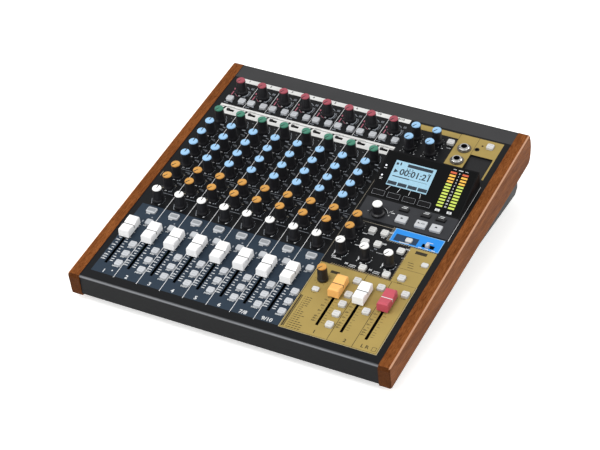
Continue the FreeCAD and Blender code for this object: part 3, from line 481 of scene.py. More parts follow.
def led_paint():
    """The meter's lights: green-yellow, then yellow, with red at the top, and a dark light behind."""
    finish = Finish("led_paint", 0.3, extra=[("Emission Strength", 0.35)])
    along = finish.panel_axis("Y")
    share = finish.math("DIVIDE", along, RAMP_LENGTH)
    bands = [(start, METER[key]) for start, key in ((0.0, "green"), (0.608, "yellow"), (0.634, "red"))]
    colour = finish.ramp(share, bands + [(0.72, "#2b2016")], steps=True)
    finish.give("Emission Color", colour)
    return finish.colour(colour, 0.08, 500.0).grain(1500.0, 0.1, 3.0)


METER = {"green": "#b4c456", "yellow": "#dba948", "red": "#bd5a3c"}
FINISHES = {
    "wood": wood(),
    "panel": panel_paint(),
    "case": powder(Finish("case_paint", 0.42).colour(COATING, 0.08, 30.0).roughness(0.36, 0.5, 60.0)),
    "knob": knob_paint("knob_paint"),
    "master_knob": knob_paint("master_knob_paint", high_blue=True),
    "encoder": capped(Finish("encoder_paint", 0.4, gloss=0.35), CAPS["white"], ENCODER_CAP),
    "rim": plastic("rim_plastic", BODY, 0.16, 0.24, gloss=0.9),
    "flat_key": plastic("flat_key_plastic", "#0d0d0f", 0.4, 0.5, gloss=0.1),
    "housing": housing_paint(),
    "smoked": plastic("smoked_window", "#050607", 0.08, 0.14, 500.0, 0.1),
    "rubber": plastic("foot_rubber", "#101010", 0.7, 0.85, 1200.0),
    "screw": metal("black_screw", "#34343a", 0.35, (1, 1, 8)),
    "brass": metal("pillar_brass", "#b9ae7c", 0.3, (1, 1, 10)),
    "jack": jack_paint(),
    "board": board_paint(),
    "led": led_paint(),
    "lcd": glow("lcd_face", "#94bacd", 0.15),
    "pointer": plastic("pointer_ink", "#22262a", 0.4, 0.5, 4000.0),
    "light": glow("white_light", "#f4f6ff", 0.8),
    "fader_white": fader_paint("fader_white_paint", "#fafafa"),
    "fader_orange": fader_paint("fader_orange_paint", "#f6ba6c"),
    "fader_red": fader_paint("fader_red_paint", "#bf525f"),
}
PLASTICS = {
    "button": ("#bec1c5", 0.35, 0.5), "light_button": ("#d2d2d0", 0.35, 0.5),
    "white_key": ("#bfc1c4", 0.35, 0.48), "black_key": ("#1c1c1e", 0.35, 0.5),
    "socket": ("#161618", 0.4, 0.55), "body": ("#131313", 0.5, 0.65),
}
for name, (code, low, high) in PLASTICS.items():
    FINISHES[name] = plastic(name + "_plastic", code, low, high)
INKS = {
    "white_print": "#d8dadb", "bright_print": "#f2f3f4", "grey_print": "#8b9097", "rim_print": "#85878b",
    "dark_print": "#17181a", "brown_print": "#2e2613", "gold_print": "#948468", "beige_print": "#9c9484",
    "rose_print": "#a4596a", "key_line": "#92969a", "lcd_ink": "#27323c",
}
for name, code in INKS.items():
    FINISHES[name] = plastic(name, code, 0.4, 0.55, 4000.0)
for key, tint in METER.items():
    FINISHES[key] = glow("meter_" + key, tint, 0.35)

CHANNEL_KNOBS = ["gain_knob", "comp_knob", "high_knob", "mid_frequency_knob", "mid_knob", "low_knob",
                 "first_aux_knob", "second_aux_knob", "pan_knob"]
CHANNEL_FADERS = [f"fader_{k + 1}" for k in range(8)]
MASTER_FADERS = [f"master_fader_{k + 1}" for k in range(3)]
FINISHED_NODES = {
    "panel": ["top_panel"],
    "case": ["bottom_tray", "rear_panel"],
    "wood": ["left_cheek", "right_cheek"],
    "screw": ["case_screws"],
    "rubber": ["feet"],
    "board": ["control_board", "main_board", "jack_board", "display_board"],
    "brass": ["board_pillars"],
    "body": ["fader_bodies", "pot_bodies", "switch_bodies", "card_reader"],
    "socket": ["combo_inputs", "line_jacks", "small_sockets", "card_bay"],
    "jack": ["phones_jacks"],
    "housing": ["display_housing"],
    "smoked": ["display_window"],
    "lcd": ["lcd_module"],
    "led": ["meter_leds"],
    "knob": ["channel_knobs"] + CHANNEL_KNOBS,
    "master_knob": ["master_knobs"],
    "encoder": ["encoder_knob"],
    "button": ["input_buttons", "assign_buttons", "fader_buttons"],
    "light_button": ["master_buttons"],
    "flat_key": ["function_keys"],
    "black_key": ["mode_keys", "channel_switches", "power_rocker"],
    "white_key": ["stop_key", "play_key", "record_key", "patch_switch"],
    "fader_white": CHANNEL_FADERS + ["master_fader_2"],
    "fader_orange": ["master_fader_1"],
    "fader_red": ["master_fader_3"],
}
for key, names in FINISHED_NODES.items():
    for name in names:
        mesh = nodes[name].data
        mesh.materials.clear()
        mesh.materials.append(FINISHES[key].material)


# Pieces

def add_piece(name, mesh, key, body="mixer", slot="case_steel", surface=None):
    """Places a mesh drawn on a surface, and lets it ride on a body."""
    if surface is not None:
        mesh.transform(surface)
    mesh.materials.append(FINISHES[key].material)
    piece = bpy.data.objects.new(name, mesh)
    link(piece)
    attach(piece, body)
    return piece


def new_mesh(name, points, faces):
    mesh = bpy.data.meshes.new(name)
    mesh.from_pydata(points, [], faces)
    return mesh


def curve_mesh(curve):
    """The mesh of a curve, which isn't kept."""
    holder = bpy.data.objects.new(curve.name, curve)
    mesh = bpy.data.meshes.new_from_object(holder)
    bpy.data.objects.remove(holder)
    bpy.data.curves.remove(curve)
    return mesh


@functools.cache
def letters(words):
    """The filled outlines of a short text one unit high, as points and faces."""
    curve = bpy.data.curves.new("letters", "FONT")
    curve.body = words
    curve.size = 1.4
    curve.align_x = curve.align_y = "CENTER"
    curve.resolution_u = 3
    curve.offset = 0.03
    mesh = curve_mesh(curve)
    points = [tuple(point.co.xy) for point in mesh.vertices]
    faces = [tuple(face.vertices) for face in mesh.polygons]
    bpy.data.meshes.remove(mesh)
    return points, faces


SQUARE = [(-1, -1), (1, -1), (1, 1), (-1, 1)]


class Print:
    """Thin printed marks in one colour on one surface, gathered into one mesh."""

    def __init__(self, name, key, surface=PANEL, top=0.03, body="mixer", slot="case_steel"):
        self.name = name
        self.made = (key, body, slot, surface)
        self.top = top
        self.points = []
        self.faces = []

    def shape(self, outline):
        """A closed outline, anticlockwise, as a slab that stands on the surface."""
        start = len(self.points)
        count = len(outline)
        self.points += [(x, y, self.top) for x, y in outline] + [(x, y, 0.0) for x, y in outline]
        self.faces.append(tuple(range(start, start + count)))
        for k in range(count):
            after = (k + 1) % count
            self.faces.append((start + count + k, start + count + after, start + after, start + k))

    def bar(self, x, y, width, length, turn=0.0):
        """A rectangle about x and y, turned clockwise by degrees."""
        c, s = cos(radians(turn)), sin(radians(turn))
        half = [(i * width / 2, j * length / 2) for i, j in SQUARE]
        self.shape([(x + a * c + b * s, y - a * s + b * c) for a, b in half])

    def line(self, start, end, width=0.35):
        dx, dy = end[0] - start[0], end[1] - start[1]
        middle = ((start[0] + end[0]) / 2, (start[1] + end[1]) / 2)
        self.bar(*middle, width, hypot(dx, dy), degrees(atan2(dx, dy)))

    def lines(self, x, y, places):
        """Lines about a place, as (across, along, across, along, width)."""
        for x0, y0, x1, y1, width in places:
            self.line((x + x0, y + y0), (x + x1, y + y1), width)

    def box(self, x0, x1, y0, y1, width=0.3):
        """The outline of a rectangle."""
        for y in (y0, y1):
            self.line((x0, y), (x1, y), width)
        for x in (x0, x1):
            self.line((x, y0), (x, y1), width)

    def disc(self, x, y, radius, sides=20):
        angles = [2 * pi * k / sides for k in range(sides)]
        self.shape([(x + radius * cos(a), y + radius * sin(a)) for a in angles])

    def around(self, x, y, radius, turn):
        """The point at a radius and clockwise angle from the rear."""
        angle = radians(turn)
        return (x + radius * sin(angle), y + radius * cos(angle))

    def arc(self, x, y, radius, start, end, width=0.3, step=12.0):
        count = max(2, round(abs(end - start) / step))
        turns = [start + (end - start) * k / count for k in range(count + 1)]
        for first, second in zip(turns, turns[1:]):
            self.line(self.around(x, y, radius, first), self.around(x, y, radius, second), width)

    def dots(self, x, y, radius, places):
        for across, along in places:
            self.disc(x + across, y + along, radius, 8)

    def ticks(self, x, y, radii, angles, width=0.3):
        for angle in angles:
            self.line(self.around(x, y, radii[0], angle), self.around(x, y, radii[1], angle), width)

    def text(self, words, x, y, size):
        points, faces = letters(words)
        start = len(self.points)
        self.points += [(x + size * a, y + size * b, self.top) for a, b in points]
        self.faces += [tuple(start + index for index in face) for face in faces]

    def add(self):
        add_piece(self.name, new_mesh(self.name, self.points, self.faces), *self.made)


white = Print("white_legends", "white_print")
# The bright ink carries the channel dividers and one painted highlight line
bright = Print("divider_and_edge_highlight_lines", "bright_print")
beige = Print("beige_legends", "beige_print")
grey = Print("grey_legends", "grey_print")
gold = Print("gold_legends", "gold_print")
rose = Print("rose_legends", "rose_print")
dark = Print("dark_legends", "brown_print")
band = Print("band_numbers", "dark_print")
SCALE_TURNS = [-150 + 30 * k for k in range(11)]


def strokes(ink, x, y, width, height, gap=1.15, weight=0.7):
    """A row of upright strokes about x and y."""
    count = max(1, round(width / gap))
    for k in range(count):
        ink.bar(x + (k - (count - 1) / 2) * gap, y, weight, height - 0.35 * (k % 3 == 1))


def channel_legends():
    """Dividers, numbers, knob scales and marks of the eight channels."""
    names = ["1", "2", "3", "4", "5", "6", "7/8", "9/10"]
    for x in DIVIDERS:
        bright.lines(x, 0, [(0, 10.5, 0, 273.0, 0.45), (0, 288.4, 0, 327.0, 0.4)])
    white.disc(COLUMNS[0] + 6.9, 18.4, 0.8)
    gold.line((-156.5, 160.0), (-156.5, 167.0), 0.6)
    for x, name in zip(COLUMNS, names):
        white.text(name, x - 0.9, 15.3, 4.6)
        band.text(name, x - 0.7, 331.2, 3.0)
        band.line((x - 3.5, 285.6), (x + 4.5, 285.6))
        grey.lines(x, 0, [(-2.5, 177.0, 10.4, 177.0, 0.35), (-1.5, 137.4, 9.8, 137.4, 0.5)])
        gain_marks(x)
        comp_marks(x)
        for row in EQ_ROWS + AUX_ROWS:
            eq_marks(x, row)
        for row in AUX_ROWS:
            beige.line((x + 4.4, row + 4.4), (x + 6.6, row + 4.4), 0.8)
        pan_marks(x)
        beige.bar(x - 5.0, 144.2, 3.0, 0.7)
        beige.bar(x - 6.1, 144.2, 0.7, 2.2)


def eq_marks(x, row):
    """A knob's scale: a bold mark at its front left, small ones round its right, lines behind it."""
    strokes(white, x - 0.9, row - 5.4, 2.6, 1.5)
    grey.bar(x + 3.1, row - 5.6, 1.3, 1.3)
    grey.bar(x + 5.1, row - 4.8, 1.2, 1.5)
    grey.dots(x, row, 0.42, [(5.2, -2.4), (6.0, -0.4), (6.2, 1.6), (5.3, 4.6), (4.5, 6.0), (2.2, 6.4)])
    grey.lines(x, row, [(4.6, 9.6, 9.4, 9.4, 0.3), (4.8, 8.6, 10.0, 8.3, 0.45), (7.4, 7.2, 10.4, 7.0, 0.3)])
    grey.ticks(x, row, (7.6, 8.6), SCALE_TURNS[:3])


def comp_marks(x):
    """The compressor knob's scale: dashes at its front right, an arc and two lines at its right."""
    grey.lines(x, COMP_ROW, [
        (2.6, -5.6, 6.6, -5.4, 0.9), (2.6, -4.8, 6.6, -4.6, 0.5), (2.4, 9.0, 4.8, 5.6, 0.6),
        (7.0, -8.0, 10.4, -8.9, 0.9), (8.4, 8.0, 9.6, 8.0, 0.5),
    ])
    grey.arc(x, COMP_ROW, 6.3, 35, 100, 0.7)
    grey.text("0", x - 8.6, COMP_ROW - 6.0, 1.6)


def gain_marks(x):
    """The gain knob's scale: rose on its left, grey on its right, and a short list behind it."""
    grey.ticks(x, GAIN_ROW, (7.0, 8.0), SCALE_TURNS)
    grey.arc(x, GAIN_ROW, 7.3, 50, 140, 1.0)
    grey.arc(x, GAIN_ROW, 9.2, 70, 120, 0.35)
    grey.lines(x, GAIN_ROW, [
        (0.8, 10.4, 3.2, 9.6, 0.7), (2.0, 9.4, 4.2, 8.6, 0.7), (3.2, 8.4, 5.2, 7.6, 0.7),
        (7.0, 0.8, 8.2, 4.8, 0.6),
    ])
    grey.bar(x - 3.6, GAIN_ROW - 18.0, 2.0, 1.6)
    strokes(white, x - 0.6, GAIN_ROW - 5.8, 2.4, 1.5)
    strokes(grey, x + 5.0, GAIN_ROW - 5.8, 3.4, 1.8)
    strokes(grey, x + 8.0, GAIN_ROW + 9.2, 3.4, 3.2)
    rose.bar(x - 9.5, GAIN_ROW - 4.0, 1.2, 6.6)
    rose.bar(x - 10.3, GAIN_ROW + 3.4, 1.3, 2.8, -20)
    rose.arc(x, GAIN_ROW, 7.4, 190, 235, 0.4)


def pan_marks(x):
    """The pan knob's scale: a stroke at its left, a short dash and dots at its right."""
    grey.line((x - 8.2, PAN_ROW + 1.2), (x - 5.0, PAN_ROW - 6.2), 0.55)
    white.line((x + 2.4, PAN_ROW - 5.9), (x + 3.9, PAN_ROW - 4.7), 0.9)
    white.dots(x, PAN_ROW, 0.4, [(-5.0, -5.8)])
    places = [(4.2, -3.8), (5.0, -2.2), (5.7, -0.4), (6.0, 1.6), (5.7, 3.2), (5.1, 5.0), (3.2, 7.4)]
    grey.dots(x, PAN_ROW, 0.4, places)


def button_legends():
    """Short strokes beside the channels' buttons, and lines on the buttons."""
    tops = {"input_buttons": BUTTON_TOP, "assign_buttons": FLAT_BUTTON_TOP, "fader_buttons": BUTTON_TOP}
    lines = {}
    for body, top in tops.items():
        lines[body] = Print(body + "_lines", "key_line", raised(PANEL, top), 0.02, body, "grey")
    for x in COLUMNS:
        for dx in (-7.2, 7.2):
            key_lines(lines["input_buttons"], x + dx, INPUT_BUTTON_ROW)
        strokes(grey, x - 9.2, GAIN_ROW - 20.4, 5.0, 1.5)
        strokes(grey, x + 5.4, GAIN_ROW - 19.0, 3.8, 0.9)
        strokes(white, x - 0.9, 104.7, 4.4, 2.0)
        strokes(white, x + 4.8, 87.2, 3.6, 1.4)
        grey.bar(x - 0.3, 92.6, 1.4, 2.6)
        grey.disc(x + 6.2, 100.2, 0.9, 12)
        lines["assign_buttons"].bar(x + 1.0, 109.2, 8.4, 4.2)
        for y, width in zip(FADER_BUTTON_ROWS, (6.4, 4.4, 4.4)):
            strokes(white, x + 6.4, y - 4.0, width, 2.0, 1.15, 0.62)
            key_lines(lines["fader_buttons"], x + 8.3, y)
    for marks in lines.values():
        marks.add()


def key_lines(ink, x, y):
    """Two fine lines across a button's top."""
    for dy in (-1.6, 1.5):
        ink.bar(x, y + dy, 4.4, 0.26)


def fader_scales():
    """Ticks on both sides of every slot, long ones with a number outside them on the left."""
    rows = [30.5, 33.6, 36.8, 40.5, 44.5, 48.1, 51.7, 55.6, 59.5, 63.1, 66.7, 70.3, 74.7, 79.5, 83.2, 86.7]
    numbers = {0: "60", 1: "50", 2: "40", 4: "30", 6: "20", 8: "10", 10: "5", 12: "0", 14: "5", 15: "10"}
    for index, x in enumerate(FADERS):
        ink = white if index < 8 else dark
        weight = 0.9 if index < 8 else 0.42
        for k, y in enumerate(rows):
            long_tick = k in numbers
            ink.line((x - (4.9 if long_tick else 5.4), y), (x - 2.9, y), weight)
            ink.line((x + 2.5, y), (x + (5.9 if long_tick else 4.4), y), weight)
            if long_tick:
                ink.text(numbers[k], x - 6.2, y, 1.9)


def gold_legends():
    """Borders, lines and marks of the gold areas."""
    dark.box(52.6, 151.4, 12.2, 105.4)
    for x, name in ((86.2, "1"), (117.6, "2"), (138.0, "L R")):
        dark.text(name, x, 17.2, 4.2)
    dark.box(145.5, 149.5, 14.6, 19.4, 0.4)
    for x, y in ((84.4, 95.2), (109.0, 95.6), (134.5, 95.6)):
        dark.disc(x, y, 0.9)
    dark.bar(71.0, 96.6, 9.0, 3.6)
    dark.bar(137.6, 151.0, 12.0, 4.2)
    dark.ticks(MASTERS[0], LEVEL_ROW, (6.9, 8.2), SCALE_TURNS)
    for x, y, width, height in ((134.6, 105.7, 5.6, 1.2), (146.4, 87.4, 4.6, 0.9), (63.6, 64.2, 6.0, 0.8)):
        strokes(dark, x, y, width, height)
    for k in range(3):
        dark.line((130.4 + k, 135.4 - 3.2 * k), (136.6 + k, 135.2 - 3.2 * k), 0.6)
    dark.lines(0, 0, [
        (101.35, 12.2, 101.35, 105.0, 0.5), (126.75, 12.2, 126.75, 105.0, 0.5),
        (125.6, 125.4, 151.6, 125.4, 0.3), (106.0, 106.6, 124.4, 106.6, 0.3),
        (60.6, 332.4, 105.6, 332.4, 0.3), (105.8, 333.0, 152.4, 333.0, 0.3),
        (105.4, 306.0, 105.4, 331.8, 0.35), (126.0, 306.0, 126.0, 331.8, 0.35),
    ])


def numbered_list():
    """Sixteen numbered rows of dashes at the left of the gold area, behind two upright lines."""
    dark.line((53.9, 13.6), (53.9, 57.4), 1.5)
    dark.line((55.5, 13.6), (55.5, 57.4), 0.7)
    for k, dashes in enumerate((4, 4, 4, 3, 2, 2, 3, 2, 2, 1, 1, 2, 2, 2, 2, 2)):
        y = 14.2 + 2.8 * k
        dark.text(str(16 - k), 58.6, y, 1.5)
        for part in range(dashes):
            dark.line((60.2 + 3.2 * part, y), (62.6 + 3.2 * part, y), 0.75)


def master_knob_marks():
    """Scales and marks of the master area's knobs."""
    for x in MASTERS:
        white.line((x - 5.6, PAN_ROW - 4.2), (x - 6.4, PAN_ROW + 0.6), 1.3)
        white.ticks(x, PAN_ROW, (6.6, 7.6), SCALE_TURNS[7:], 0.6)
        grey.arc(x, PAN_ROW, 6.9, 90, 140, 0.4)
        strokes(white, x - 6.3, PAN_ROW - 5.6, 1.3, 1.6)
    for row in AUX_ROWS:
        white.ticks(MASTERS[0], row, (6.7, 7.8), SCALE_TURNS)
        white.bar(MASTERS[0] + 10.4, row - 7.4, 4.6, 0.8)
    for x in PHONES_COLUMNS:
        for row in PHONES_ROWS:
            white.ticks(x, row, (6.7, 7.8), SCALE_TURNS, 0.25)
            white.text("0", x - 7.4, row - 6.8, 1.4)
            white.text("10", x + 7.8, row - 6.8, 1.4)


# Strokes beside the master area's buttons, as (x, y, width, height)
WHITE_STROKES = [
    (59.6, 117.6, 4.2, 1.7), (63.6, 115.4, 10.0, 1.6), (80.4, 158.9, 6.8, 1.8), (93.6, 158.6, 3.4, 1.4),
    (99.6, 136.8, 7.4, 0.9), (98.4, 167.6, 4.2, 2.2), (98.8, 150.4, 4.2, 2.2), (123.2, 151.6, 4.2, 2.2),
    (101.4, 306.4, 5.0, 0.9),
]
for x in (81.6, 107.0):
    WHITE_STROKES += [(x - 6.0, 112.4, 3.6, 2.6), (x + 1.0, 112.0, 6.6, 1.3)]
    WHITE_STROKES += [(x + 0.6, 109.9, 6.6, 1.2), (x + 6.6, 117.8, 2.8, 2.2)]
GREY_STROKES = [(93.6, 140.9, 4.0, 1.6), (91.0, 137.6, 3.0, 0.8)]


def master_legends():
    """Everything printed on the gold areas, the black master area and the blue patch."""
    gold_legends()
    numbered_list()
    borders()
    master_knob_marks()
    for ink, places in ((white, WHITE_STROKES), (grey, GREY_STROKES)):
        for place in places:
            strokes(ink, *place)
    for x in (122.6, 124.8):
        white.disc(x, 138.8, 0.5, 10)


def row_of_dashes(ink, count, start, step, dash, width):
    """Short lines one step apart, each from its place to a dash further on."""
    for k in range(count):
        x, y = start[0] + k * step[0], start[1] + k * step[1]
        ink.line((x, y), (x + dash[0], y + dash[1]), width)


def borders():
    """The hatched borders of the black master area and of the blue patch."""
    row_of_dashes(gold, 26, (61.4, 105.9), (2.4, 0), (1.6, 2.0), 0.7)
    row_of_dashes(gold, 22, (123.8, 107.4), (0, 2.3), (1.2, 1.3), 0.6)
    row_of_dashes(beige, 9, (98.6, 157.0), (0, 2.2), (1.8, 1.2), 0.6)
    row_of_dashes(beige, 22, (99.8, 155.9), (2.4, 0), (1.4, 1.4), 0.6)
    beige.lines(0, 0, [
        (51.1, 107.0, 51.1, 273.0, 0.4), (61.0, 173.9, 98.2, 173.9, 0.45), (98.2, 156.4, 98.2, 176.6, 0.35),
    ])
    white.line((110.6, 158.9), (120.8, 159.3), 0.9)
    # Painted highlight: a bright line on the panel along the display housing's right edge, standing in for
    # light caught on that edge
    bright.line((154.6, 177.0), (154.6, 262.0), 0.4)
    white.bar(139.6, 168.2, 6.4, 0.8)
    for x in (132.6, 139.4, 146.6):
        white.bar(x, 158.9, 3.6, 0.8)


def master_key_lines():
    """Two fine lines on the tops of the master area's square buttons."""
    top = raised(PANEL, BUTTON_TOP)
    ink = Print("master_button_lines", "key_line", top, 0.02, "master_buttons", "grey")
    for x, y in MASTER_KEYS:
        key_lines(ink, x, y)
    ink.add()


MASTER_KEYS = [(96.15, y) for y in (30.1, 45.3, 59.2, 72.8, 93.0)]
MASTER_KEYS += [(121.05, 58.6), (121.05, 93.0), (134.05, 112.0), (146.15, 92.9), (140.95, 322.2)]
MASTER_KEYS += [(93.35, y) for y in (111.4, 147.1, 164.0)] + [(118.25, 111.4), (118.25, 146.3)]
MASTER_KEYS += [(80.45, 145.5), (80.45, 163.7), (100.6, 314.6)]


channel_legends()
button_legends()
fader_scales()
master_legends()
master_key_lines()
for marks in (white, bright, beige, grey, gold, rose, dark, band):
    marks.add()


# Pointers on the knobs' caps

# Half a pointer's width at its two ends
POINTER_TAIL = 0.279
POINTER_TIP = 0.62


def add_pointer(name, body, places):
    """Dark lines from the middle of caps to their rims, for (x, y, angle) places."""
    marks = Print(name, "pointer", raised(PANEL, CAP_TOP), 0.06, body, "knob")
    for x, y, angle in places:
        tail = marks.around(x, y, -0.6, angle)
        tip = marks.around(x, y, CAP_RADIUS - 0.1, angle)
        side = marks.around(0, 0, 1.0, angle + 90)
        ends = ((tail, -POINTER_TAIL), (tail, POINTER_TAIL), (tip, POINTER_TIP), (tip, -POINTER_TIP))
        marks.shape([(end[0] + half * side[0], end[1] + half * side[1]) for end, half in ends])
    marks.add()


ROW_ANGLES = [-150, -150, 0, 0, 0, 0, -150, -150, 0]
for name, row, angle in zip(CHANNEL_KNOBS, CHANNEL_ROWS, ROW_ANGLES):
    add_pointer(name + "_pointer", name, [(COLUMNS[0], row, angle)])
fixed = [(x, row, angle) for x in COLUMNS[1:] for row, angle in zip(CHANNEL_ROWS, ROW_ANGLES)]
add_pointer("channel_pointers", "mixer", fixed)
master_places = [(x, row) for x in PHONES_COLUMNS for row in PHONES_ROWS]
master_places += [(MASTERS[0], row) for row in AUX_ROWS + [LEVEL_ROW]] + [(x, PAN_ROW) for x in MASTERS]
add_pointer("master_pointers", "mixer", [(x, row, -150) for x, row in master_places])


# Rounded rims on the knobs' skirts

SKIRT_RADIUS = 5.2
SKIRT_TOP = 2.72
BEAD = 0.4
BEAD_TURNS = [2 * pi * k / 40 for k in range(40)]
BEAD_ANGLES = [radians(-60 + 36 * k) for k in range(6)]


def add_rims(name, body, places):
    """A half-sunk bead round each skirt's upper edge, for (x, y) places."""
    section = [(SKIRT_RADIUS + BEAD * cos(a), SKIRT_TOP + BEAD * sin(a)) for a in BEAD_ANGLES]
    points = []
    faces = []
    for x, y in places:
        start = len(points)
        for turn in BEAD_TURNS:
            c, s = cos(turn), sin(turn)
            points += [(x + reach * c, y + reach * s, up) for reach, up in section]
        for k in range(len(BEAD_TURNS)):
            near = start + k * len(section)
            far = start + (k + 1) % len(BEAD_TURNS) * len(section)
            faces += [(near + j, far + j, far + j + 1, near + j + 1) for j in range(len(section) - 1)]
    mesh = new_mesh(name, points, faces)
    mesh.shade_smooth()
    add_piece(name, mesh, "rim", body, "knob", PANEL)


for name, row in zip(CHANNEL_KNOBS, CHANNEL_ROWS):
    add_rims(name + "_rim", name, [(COLUMNS[0], row)])
add_rims("channel_rims", "mixer", [(x, row) for x in COLUMNS[1:] for row in CHANNEL_ROWS])
add_rims("master_rims", "mixer", master_places)


# Fader caps: a line along each cap's groove

GROOVE_HALF = 5.74
GROOVE_TOP = 8.84
GROOVE_FOOT = 5.4
GROOVE_STRIP = 0.45


def groove_line(name, x, key):
    """A thin strip in the bottom of a cap's groove, carried down the cap's sides."""
    inner_half = GROOVE_HALF - 0.2
    inner_top = GROOVE_TOP - 0.64
    outer = [(-GROOVE_HALF, GROOVE_FOOT), (-GROOVE_HALF, GROOVE_TOP), (GROOVE_HALF, GROOVE_TOP)]
    inner = [(inner_half, GROOVE_FOOT), (inner_half, inner_top), (-inner_half, inner_top)]
    outline = outer + [(GROOVE_HALF, GROOVE_FOOT)] + inner + [(-inner_half, GROOVE_FOOT)]
    sides = (FADER_ROW - GROOVE_STRIP, FADER_ROW + GROOVE_STRIP)
    points = [(x + across, y, up) for y in sides for across, up in outline]
    count = len(outline)
    faces = []
    for k in range(count):
        after = (k + 1) % count
        faces.append((k, k + count, after + count, after))
    for k in range(3):
        mirror = count - 1 - k
        faces.append((k, k + 1, mirror - 1, mirror))
        faces.append((mirror + count, mirror - 1 + count, k + 1 + count, k + count))
    add_piece(name + "_line", new_mesh(name, points, faces), key, name, "knob", PANEL)


for name, x in zip(CHANNEL_FADERS + MASTER_FADERS, FADERS):
    groove_line(name, x, "white_print" if name == "master_fader_3" else "pointer")


# Display

LCD = (68.0, 111.8, 17.4, 47.6)
METER_X = (HOUSING_X + 73.7, HOUSING_X + 86.3)
METER_ROWS = [9.55 + 3.63 * k for k in range(12)]
BAR = (6.5, 2.2)
KEY_X = [HOUSING_X + 9.1 + 16.5 * k for k in range(4)]
KEY = (12.4, 5.2)
KEY_ROW = 6.6
SIDE_LIGHTS = [(HOUSING_X + 4.7, y) for y in (26.8, 38.7)]
LIGHT = (1.9, 1.9)
TRANSPORT_X = [HOUSING_X + x for x in (45.5, 66.2, 82.2)]
TRANSPORT_ROW = 9.75
MODE_X = [HOUSING_X + x for x in (42.7, 66.1, 82.1)]
MODE_ROW = 22.3


def rounded(x0, x1, y0, y1, radius, steps=4):
    """The outline of a rectangle with rounded corners."""
    outline = []
    corners = [(x1 - radius, y1 - radius), (x0 + radius, y1 - radius)]
    corners += [(x0 + radius, y0 + radius), (x1 - radius, y0 + radius)]
    for quarter, (x, y) in enumerate(corners):
        for k in range(steps + 1):
            angle = radians(90 * quarter + 90 * k / steps)
            outline.append((x + radius * cos(angle), y + radius * sin(angle)))
    return outline


def about(x, y, size, radius):
    return rounded(x - size[0] / 2, x + size[0] / 2, y - size[1] / 2, y + size[1] / 2, radius)


def pierced_plate(name, outlines, depth):
    """A plate under its surface. The first outline is its edge and the others are openings."""
    curve = bpy.data.curves.new(name, "CURVE")
    curve.dimensions = "2D"
    curve.fill_mode = "BOTH"
    curve.extrude = depth / 2
    for outline in outlines:
        spline = curve.splines.new("POLY")
        spline.points.add(len(outline) - 1)
        for point, (x, y) in zip(spline.points, outline):
            point.co = (x, y, 0, 1)
        spline.use_cyclic_u = True
    mesh = curve_mesh(curve)
    mesh.transform(Matrix.Translation((0, 0, -depth / 2)))
    return mesh


def display_glass():
    """The black window, open over the screen, the meter's bars, the two lights and the keys."""
    edge = rounded(HOUSING_X + 1.65, HOUSING_X + 96.75, 1.65, 55.4, 0.8)
    openings = [rounded(*LCD, 0.3)]
    openings += [about(x, y, BAR, 0.2) for x in METER_X for y in METER_ROWS]
    openings += [about(x, KEY_ROW, KEY, 0.9) for x in KEY_X]
    openings += [about(x, y, LIGHT, 0.9) for x, y in SIDE_LIGHTS]
    mesh = pierced_plate("display_glass", [edge] + openings, 1.5)
    piece = add_piece("display_glass", mesh, "smoked", slot="window", surface=DISPLAY)
    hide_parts("display_window")


def display_inserts():
    """The screen's face and the faces of the meter's bars, just under the window's surface."""
    faces = {"lcd_face": ("lcd", "lcd", [rounded(*LCD, 0.3)])}
    places = [(x, y, k) for x in METER_X for k, y in enumerate(METER_ROWS)]
    for key, low, high in (("green", 0, 8), ("yellow", 8, 11), ("red", 11, 12)):
        outlines = [about(x, y, BAR, 0.2) for x, y, k in places if low <= k < high]
        faces["meter_" + key] = (key, "led", outlines)
    faces["side_lights"] = ("light", "led", [about(x, y, LIGHT, 0.9) for x, y in SIDE_LIGHTS])
    for name, (key, slot, outlines) in faces.items():
        marks = Print(name, key, raised(DISPLAY, -1.7), 1.6, slot=slot)
        for outline in outlines:
            marks.shape(outline)
        marks.add()


def screen_marks():
    """What the screen shows: bars, a counter, a play sign and four tabs."""
    width = LCD[1] - LCD[0]
    height = LCD[3] - LCD[2]
    corner = raised(DISPLAY, -0.1) @ Matrix.Translation((LCD[0], LCD[2], 0))
    ink = Print("screen_marks", "lcd_ink", corner, 0.02, slot="lcd")
    ink.bar(0.62 * width, height - 3.4, 0.62 * width, 3.6)
    ink.bar(2.6, height - 4.0, 2.4, 2.6)
    ink.bar(6.2, height - 3.4, 1.4, 3.4)
    ink.shape([(2.2, 15.2), (6.6, 17.6), (2.2, 20.0)])
    ink.text("00:01:21", 0.57 * width, 17.6, 7.0)
    ink.bar(0.27 * width, 11.6, 0.42 * width, 1.1)
    ink.bar(0.7 * width, 11.6, 0.42 * width, 0.35)
    ink.text("1 2 3", 0.4 * width, height - 8.0, 2.6)
    ink.text("24", width - 5.0, height - 8.0, 2.6)
    for k in range(4):
        ink.bar((k + 0.5) * width / 4, 3.4, width / 4 - 1.2, 4.0)
    ink.add()


